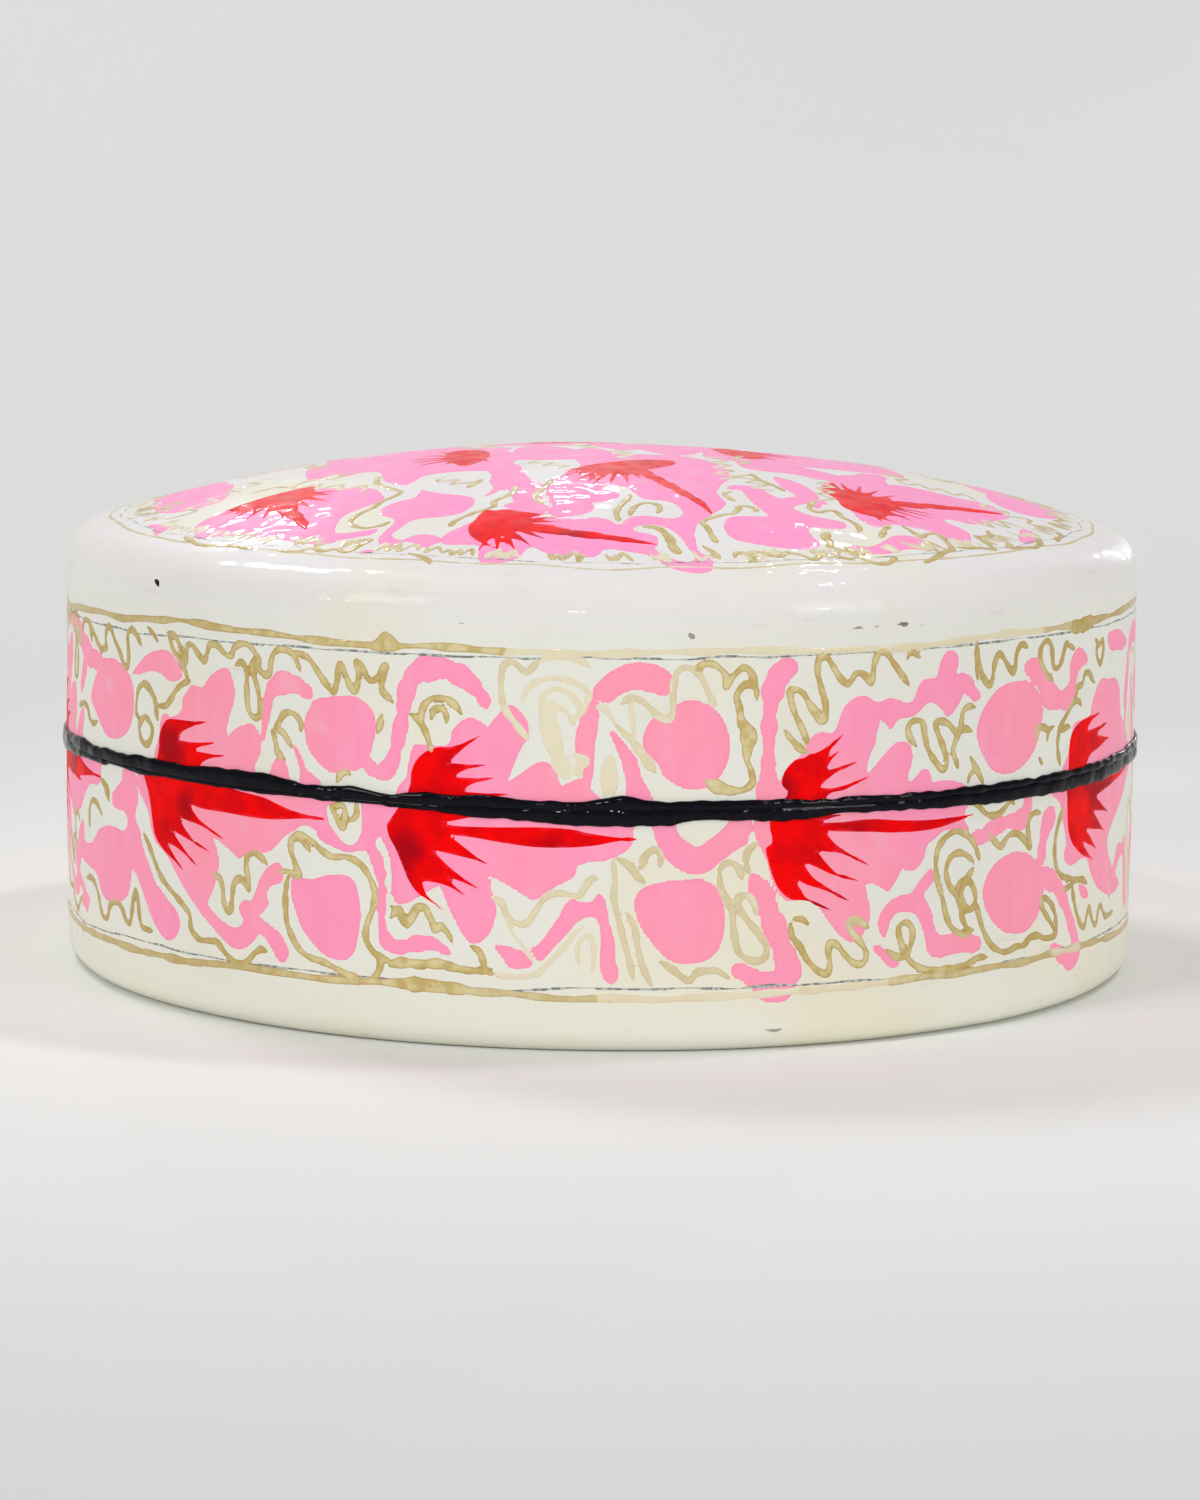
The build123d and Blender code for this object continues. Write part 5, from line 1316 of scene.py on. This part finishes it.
class Look:
    """A material built up one node at a time, in the coordinates of the piece."""

    def __init__(self, name, **sockets):
        self.material = bpy.data.materials.new(name)
        self.material.use_nodes = True
        self.shader = self.material.node_tree.nodes["Principled BSDF"]
        self.place = self.node("TexCoord", {}).outputs["Object"]
        for socket, value in sockets.items():
            self.set(socket.replace("_", " "), value)

    def node(self, kind, inputs, **settings):
        """A new node with its settings, and its inputs set to a value or linked to a socket.

        An input goes by its name, or by its number where several have the same name."""
        node = self.material.node_tree.nodes.new("ShaderNode" + kind)
        for name, value in settings.items():
            setattr(node, name, value)
        for name, value in inputs.items():
            self.give(node.inputs[name], value)
        return node

    def give(self, socket, value):
        """Sets a socket, or links it if the value is another socket."""
        if isinstance(value, bpy.types.NodeSocket):
            self.material.node_tree.links.new(value, socket)
        else:
            socket.default_value = value

    def set(self, socket, value):
        """Sets or links a socket of the shader."""
        self.give(self.shader.inputs[socket], value)

    def along(self, axis):
        """The place along X, Y or Z, in metres."""
        return self.node("SeparateXYZ", {"Vector": self.place}).outputs[axis]

    def attribute(self, name):
        """A number stored on the points of the piece."""
        return self.node("Attribute", {}, attribute_name=name).outputs["Fac"]

    def noise(self, size, detail=2, stretch=(1, 1, 1), distortion=0):
        """Noise from 0 to 1 with features about size millimetres across."""
        scale = [1 / MM / size / part for part in stretch]
        place = self.node("Mapping", {"Vector": self.place, "Scale": scale}).outputs[0]
        inputs = {"Vector": place, "Scale": 1, "Detail": detail, "Distortion": distortion}
        return self.node("TexNoise", inputs).outputs["Fac"]

    def ramp(self, value, low, high, to_low=0.0, to_high=1.0):
        """Value eased from to_low to to_high as it goes from low to high."""
        inputs = {"Value": value, "From Min": low, "From Max": high, "To Min": to_low, "To Max": to_high}
        return self.node("MapRange", inputs, interpolation_type="SMOOTHSTEP").outputs[0]

    def math(self, operation, first, second):
        """Sum, product or another operation on two values."""
        return self.node("Math", {0: first, 1: second}, operation=operation).outputs[0]

    def mix(self, share, first, second):
        """First colour going over into the second."""
        return self.node("Mix", {0: share, 6: first, 7: second}, data_type="RGBA").outputs[2]

    def patches(self, first, second, low, high, most=1.0, **noise):
        """First colour going over into the second, by most, in patches where noise rises from low to high."""
        return self.mix(self.ramp(self.noise(**noise), low, high, 0, most), first, second)

    def roughness(self, smoothest, roughest, low=0.3, high=0.7, **noise):
        """Roughness that goes from smoothest to roughest where noise rises from low to high."""
        self.set("Roughness", self.ramp(self.noise(**noise), low, high, smoothest, roughest))

    def bump(self, *layers, socket="Normal"):
        """Bumps the shader, or only its coat, by layers of (height, its size in millimetres)."""
        normal = None
        for height, distance in layers:
            node = self.node("Bump", {"Height": height, "Strength": 1, "Distance": distance * MM})
            if normal:
                self.give(node.inputs["Normal"], normal)
            normal = node.outputs[0]
        self.set(socket, normal)

    def varnish(self, *layers):
        """Bumps of thick varnish, stronger in the gloss than below it, where the paint's own are added."""
        self.bump((self.noise(6, 1), 0.04), (self.noise(1.9, 0), 0.13), socket="Coat Normal")
        self.bump((self.noise(6, 1), 0.04), (self.noise(2.2, 2), 0.016), (self.noise(0.7, 1), 0.004), *layers)


def ground_look():
    """Cream under varnish: yellower low down and in patches, lightly rubbed, and whiter at the shoulder and
    over the lid's top, where a sheen is painted in.
    """
    look = Look("cream_ground", Coat_Weight=0.2, Coat_Roughness=0.05, Specular_IOR_Level=0.04)
    cream = srgb(229, 229, 219)
    # the shoulder's painted sheen
    sheen_white = srgb(230, 227, 224)
    yellower = srgb(231, 230, 215)
    aged = srgb(232, 227, 203)
    greyed = srgb(221, 219, 203)
    rubbed = srgb(208, 204, 190)
    height = look.along("Z")
    # Painted sheen: whiter from the shoulder up, where the varnish faces the light above
    colour = look.mix(look.ramp(height, 34 * MM, 39.5 * MM), cream, sheen_white)
    colour = look.mix(look.ramp(height, 2 * MM, 12 * MM, 1, 0), colour, yellower)
    colour = look.patches(colour, aged, 0.47, 0.7, 0.8, size=17, detail=3)
    colour = look.patches(colour, greyed, 0.56, 0.75, 0.45, size=5, detail=4, stretch=(2, 2, 1))
    colour = look.patches(colour, rubbed, 0.64, 0.74, 0.3, size=1.1, detail=3, stretch=(5, 5, 1))
    look.set("Base Color", colour)
    look.roughness(0.3, 0.45, size=4, detail=3)
    look.varnish()
    return look.material


def pink_look():
    """Flat pink, faintly streaky, cooler on the lid, and deeper where it pooled at its edge."""
    look = Look("pink_paint", Coat_Weight=0.16, Coat_Roughness=0.05, Specular_IOR_Level=0.04)
    pink = srgb(255, 151, 187)
    warmer = srgb(255, 154, 176)
    lid_pink = srgb(255, 152, 202)
    streak = srgb(252, 168, 196)
    thin = srgb(246, 178, 200)
    pooled = srgb(250, 138, 172)
    colour = look.patches(pink, warmer, 0.42, 0.62, size=23, detail=2)
    colour = look.mix(look.ramp(look.along("Z"), 38 * MM, 41 * MM), colour, lid_pink)
    colour = look.patches(colour, streak, 0.4, 0.7, 0.35,
                          size=1.6, detail=3, stretch=(1, 1, 3), distortion=0.4)
    colour = look.patches(colour, thin, 0.62, 0.76, 0.5, size=5, detail=3)
    colour = look.mix(look.ramp(look.attribute("depth"), 0.03, 0.4, 0.4, 0), colour, pooled)
    look.set("Base Color", colour)
    look.roughness(0.35, 0.5, size=2, detail=3)
    look.varnish((look.noise(0.5, 2, (1, 1, 4)), 0.004))
    return look.material


def red_look():
    """Scarlet put on wet: crimson where it is thick, orange and see-through at the tips, and paled on the lid
    by a painted sheen of glancing reflection.
    """
    look = Look("red_paint", Coat_Weight=0.05, Coat_Roughness=0.05, Specular_IOR_Level=0.02)
    scarlet = srgb(247, 0, 2)
    deeper = srgb(224, 0, 10)
    crimson = srgb(156, 0, 20)
    dry = srgb(248, 50, 74)
    colour = look.patches(scarlet, deeper, 0.40, 0.62, size=2.6, detail=3)
    colour = look.patches(colour, crimson, 0.5, 0.72, 0.85, size=6, detail=1)
    broken = look.ramp(look.noise(0.55, 2, (3, 3, 1)), 0.52, 0.66, 0, 0.75)
    tip = look.ramp(look.attribute("depth"), 0.04, 0.3, 1, 0)
    colour = look.mix(look.math("MULTIPLY", broken, tip), colour, dry)
    # Painted sheen: the red is paled on the lid, as the varnish's glancing reflection washes it out
    sheen_washed_red = look.patches(srgb(232, 56, 60), srgb(240, 104, 104), 0.35, 0.65, size=2, detail=3)
    colour = look.mix(look.ramp(look.along("Z"), 42 * MM, 46 * MM, 0, 0.75), colour, sheen_washed_red)
    look.set("Base Color", colour)
    look.roughness(0.3, 0.45, size=1.5, detail=2)
    look.varnish()
    return look.material


def gilt_look():
    """Pale khaki gold wash, darker at its pooled edges, uneven along the stroke, faint where it is thin, and
    with painted shade that darkens it towards the left and right.
    """
    look = Look("gilt_paint", Coat_Weight=0.2, Coat_Roughness=0.05, Specular_IOR_Level=0.06)
    gold = srgb(194, 171, 106)
    paler = srgb(216, 202, 152)
    richer = srgb(188, 164, 94)
    # painted shade for the left and right
    shaded_gold = srgb(176, 150, 84)
    pooled = srgb(176, 147, 78)
    peach = srgb(232, 192, 156)
    fainter = srgb(231, 223, 196)
    colour = look.patches(gold, paler, 0.36, 0.64, size=1.3, detail=3)
    colour = look.patches(colour, richer, 0.45, 0.65, 0.5, size=14, detail=2)
    # Painted shade: the gilt darkens towards the left and right, where the round box turns away from the
    # front
    aside = look.math("ABSOLUTE", look.along("X"), 0)
    colour = look.mix(look.ramp(aside, 24 * MM, 45 * MM, 0, 0.6), colour, shaded_gold)
    colour = look.mix(look.ramp(look.attribute("depth"), 0.03, 0.2, 0.8, 0), colour, pooled)
    colour = look.patches(colour, peach, 0.68, 0.76, 0.6, size=0.9, detail=2)
    faint = look.math("ADD", look.attribute("tone"), look.math("MULTIPLY", look.attribute("crossed"), 0.45))
    colour = look.mix(look.ramp(faint, 0, 1, 0, 0.93), colour, fainter)
    look.set("Base Color", colour)
    look.roughness(0.28, 0.45, size=1, detail=2)
    look.varnish((look.noise(0.35, 2), 0.006))
    return look.material


def pencil_look():
    """Grey pencil of the setting-out lines, broken up by the grain of the ground."""
    look = Look("pencil", Coat_Weight=0.14, Coat_Roughness=0.05, Specular_IOR_Level=0.04, Roughness=0.5)
    colour = look.patches(srgb(122, 128, 128), srgb(192, 194, 184), 0.4, 0.6, size=0.5, detail=2)
    look.set("Base Color", colour)
    look.varnish()
    return look.material


def scuff_look():
    """Dark marks where varnish and paint are chipped or rubbed."""
    look = Look("scuff", Specular_IOR_Level=0.2, Roughness=0.7)
    grey = look.mix(look.noise(0.4, 2), srgb(150, 142, 128), srgb(190, 184, 170))
    chipped = srgb(30, 24, 28)
    look.set("Base Color", look.mix(look.ramp(look.attribute("tone"), 0, 1), grey, chipped))
    look.bump((look.noise(0.3, 2), 0.03))
    return look.material


def lacquer_look():
    """Thick black lacquer, glossy and a little wavy."""
    look = Look("black_lacquer", Specular_IOR_Level=0.02, Coat_Weight=0.22, Coat_Roughness=0.05)
    look.set("Base Color", look.patches(srgb(4, 4, 12), srgb(10, 8, 18), 0.3, 0.7, size=2, detail=2))
    look.roughness(0.10, 0.24, low=0.35, size=1.5, detail=2)
    look.bump((look.noise(1.2, 2), 0.06), (look.noise(0.45, 1), 0.02))
    look.bump((look.noise(1.4, 1), 0.12), socket="Coat Normal")
    return look.material


def worn_black(look):
    """The colour of black paint on pasted paper."""
    return look.patches(srgb(22, 21, 24), srgb(40, 38, 40), 0.5, 0.75, size=6, detail=5)


def lining_look():
    """Satin black paint, with the edges of the pasted paper strips just showing through."""
    look = Look("black_lining", Specular_IOR_Level=0.35)
    look.set("Base Color", worn_black(look))
    look.roughness(0.32, 0.5, size=3, detail=4)
    strips = look.ramp(look.noise(9, 1, (1, 1, 0.5)), 0.48, 0.52)
    look.bump((strips, 0.05), (look.noise(0.8, 4), 0.05), (look.noise(0.25, 2), 0.01))
    return look.material


def floor_disc_look():
    """The base's floor: plain varnished cream with some stains underneath, black lining on top."""
    look = Look("base_floor", Specular_IOR_Level=0.35)
    cream = srgb(228, 226, 208)
    stained = srgb(214, 205, 178)
    speckled = srgb(170, 160, 138)
    colour = look.patches(cream, stained, 0.4, 0.7, size=14, detail=4)
    colour = look.patches(colour, speckled, 0.6, 0.75, 0.5, size=1.5, detail=4, stretch=(4, 1, 1))
    on_top = look.math("GREATER_THAN", look.along("Z"), (FLOOR_TOP - 0.1) * MM)
    look.set("Base Color", look.mix(on_top, colour, worn_black(look)))
    look.roughness(0.3, 0.5, size=3, detail=4)
    look.bump((look.noise(9, 2), 0.06), (look.noise(0.8, 4), 0.04))
    return look.material


def sweep_look():
    """Pale paper with a painted pool of light: brightest round the box, darker further off."""
    look = Look("sweep", Roughness=0.9, Specular_IOR_Level=0.1)
    far = look.node("VectorMath", {0: look.place, 1: (0, 0, 0)}, operation="DISTANCE").outputs["Value"]
    # Painted pool of light: lightest round the box, greying off with distance from it
    near = look.mix(look.ramp(far, 0.05, 0.2), srgb(237, 238, 234), srgb(214, 214, 212))
    look.set("Base Color", look.mix(look.ramp(far, 0.3, 1), near, srgb(207, 207, 205)))
    return look.material


GROUND = ground_look()
LINING = lining_look()
LACQUER = lacquer_look()
# How each paint lies, its look and its material slot, in the order in which they are laid on
PAINTS = {
    "pink": (PINK, pink_look(), "pink_paint"),
    "red": (RED, red_look(), "red_paint"),
    "gilt": (GILT, gilt_look(), "gilt_paint"),
    "pencil": (PENCIL, pencil_look(), "painted_paper"),
    "scuff": (PENCIL, scuff_look(), "painted_paper"),
}

# The studio, in metres. A lamp is (name, place, (width, height), power, tint).
LIT_PLACE = (0, 0, 0.03)
WHITE = (1, 1, 1)
COOL = (0.96, 0.95, 1)
LAMPS = (
    ("key", (-1.25, -1.1, 0.8), (0.6, 0.6), 9.4, WHITE),
    ("fill", (1.35, -1.15, 0.5), (0.7, 0.7), 9.2, WHITE),
    ("behind", (-0.5, 0.6, 1.0), (0.3, 0.3), 4, WHITE),
    ("back_left", (-0.205, 0.95, 0.465), (0.035, 0.035), 0.34, COOL),
    ("back_mid", (-0.01, 0.95, 0.43), (0.03, 0.025), 0.13, COOL),
    ("back_right", (0.17, 0.95, 0.72), (0.05, 0.03), 0.16, COOL),
    ("front_glint", (-0.48, -0.57, 1.33), (0.12, 0.05), 1.5, COOL),
    ("low_left", (-1.2, -0.75, 0.36), (0.07, 0.07), 1.1, COOL),
    ("low_mid", (-0.12, -1.4, 0.36), (0.07, 0.07), 1.1, COOL),
    ("low_right", (0.95, -1.0, 0.36), (0.07, 0.07), 1.1, COOL),
    ("over_right", (0.45, 0.12, 0.95), (0.12, 0.08), 2.0, (0.93, 0.92, 1)),
    ("edge_right", (0.38, 0.80, 0.16), (0.03, 0.3), 0.7, (0.97, 0.96, 1)),
)


def pointing(place, target):
    """Placement at a point with the object's -Z towards a target."""
    turn = (Vector(target) - Vector(place)).to_track_quat("-Z", "Y")
    return Matrix.Translation(place) @ turn.to_matrix().to_4x4()


def add_camera():
    """The photograph's view: 8 degrees above level, from nine times the box's radius, tilted a little."""
    distance = 0.452
    pitch = radians(8.11)
    tilt = radians(0.67)
    aim = Vector((0, 0, 0.01895))
    data = bpy.data.cameras.new("camera")
    data.sensor_fit = "VERTICAL"
    data.sensor_height = 36
    data.lens = 114.8
    camera = bpy.data.objects.new("camera", data)
    bpy.context.scene.collection.objects.link(camera)
    place = aim + distance * Vector((0, -cos(pitch), sin(pitch)))
    camera.matrix_world = pointing(place, aim) @ Matrix.Rotation(tilt, 4, "Z")
    bpy.context.scene.camera = camera


def add_backdrop():
    """A pale sweep: a floor that curves up into a wall far behind the box."""
    half_width = 4
    front = -1.6
    bend_start = 0.5
    bend = 0.5
    top = 2
    profile = [(front, 0), (-0.4, 0), (bend_start, 0)]
    for turn in np.linspace(0, pi / 2, 25)[1:]:
        profile.append((bend_start + bend * sin(turn), bend - bend * cos(turn)))
    profile.append((bend_start + bend, top))
    points = [(x, y, z) for x in (-half_width, half_width) for y, z in profile]
    count = len(profile)
    faces = [(i, count + i, count + i + 1, i + 1) for i in range(count - 1)]
    mesh = bpy.data.meshes.new("sweep")
    mesh.from_pydata(points, [], faces)
    mesh.materials.append(sweep_look())
    mesh.shade_smooth()
    sweep = bpy.data.objects.new("sweep", mesh)
    bpy.context.scene.collection.objects.link(sweep)


def add_lamp(name, place, size, power, tint):
    """A soft rectangular lamp that points at the box."""
    data = bpy.data.lights.new(name, "AREA")
    data.shape = "RECTANGLE"
    data.size, data.size_y = size
    data.energy = power
    data.color = tint
    lamp = bpy.data.objects.new(name, data)
    lamp.matrix_world = pointing(place, LIT_PLACE)
    bpy.context.scene.collection.objects.link(lamp)


def add_light():
    """Even studio light, a key at the front left, and small lamps that sparkle in the varnish."""
    world = bpy.data.worlds.new("studio")
    bpy.context.scene.world = world
    world.use_nodes = True
    background = world.node_tree.nodes["Background"]
    background.inputs["Color"].default_value = (1, 1, 1, 1)
    background.inputs["Strength"].default_value = 0.325
    for lamp in LAMPS:
        add_lamp(*lamp)


add_shells()
add_bead("base_rim_bead", -1, "base", "base_rim_edging")
add_bead("lid_rim_bead", 1, "lid", "lid_rim_edging")
dress_solid("base_floor", floor_disc_look())
dress_solid("neck_strip", LINING)

left = -ROUND / 2
right = ROUND / 2
lid_paints = side_paints(level_line(UPPER_PENCIL, width=0.26, seed=51),
                         level_line(UPPER_GILT, width=0.66, seed=53, faint=UPPER_FAINT))
base_paints = side_paints(level_line(LOWER_PENCIL, width=0.26, seed=57),
                          level_line(LOWER_GILT, width=0.7, seed=59, faint=LOWER_FAINT))
paint_face("lid_side", "lid", on_side, (left, PARTING + PAINT_GAP), (right, SIDE_TOP), lid_paints)
paint_face("base_side", "base", on_side, (left, SIDE_LOW), (right, PARTING - PAINT_GAP), base_paints)
paint_face("lid_top", "lid", on_dome, (-TOP_EDGE, -TOP_EDGE), (TOP_EDGE, TOP_EDGE), lid_top_paints())

add_backdrop()
add_camera()
add_light()
bpy.context.scene.view_settings.view_transform = "Standard"
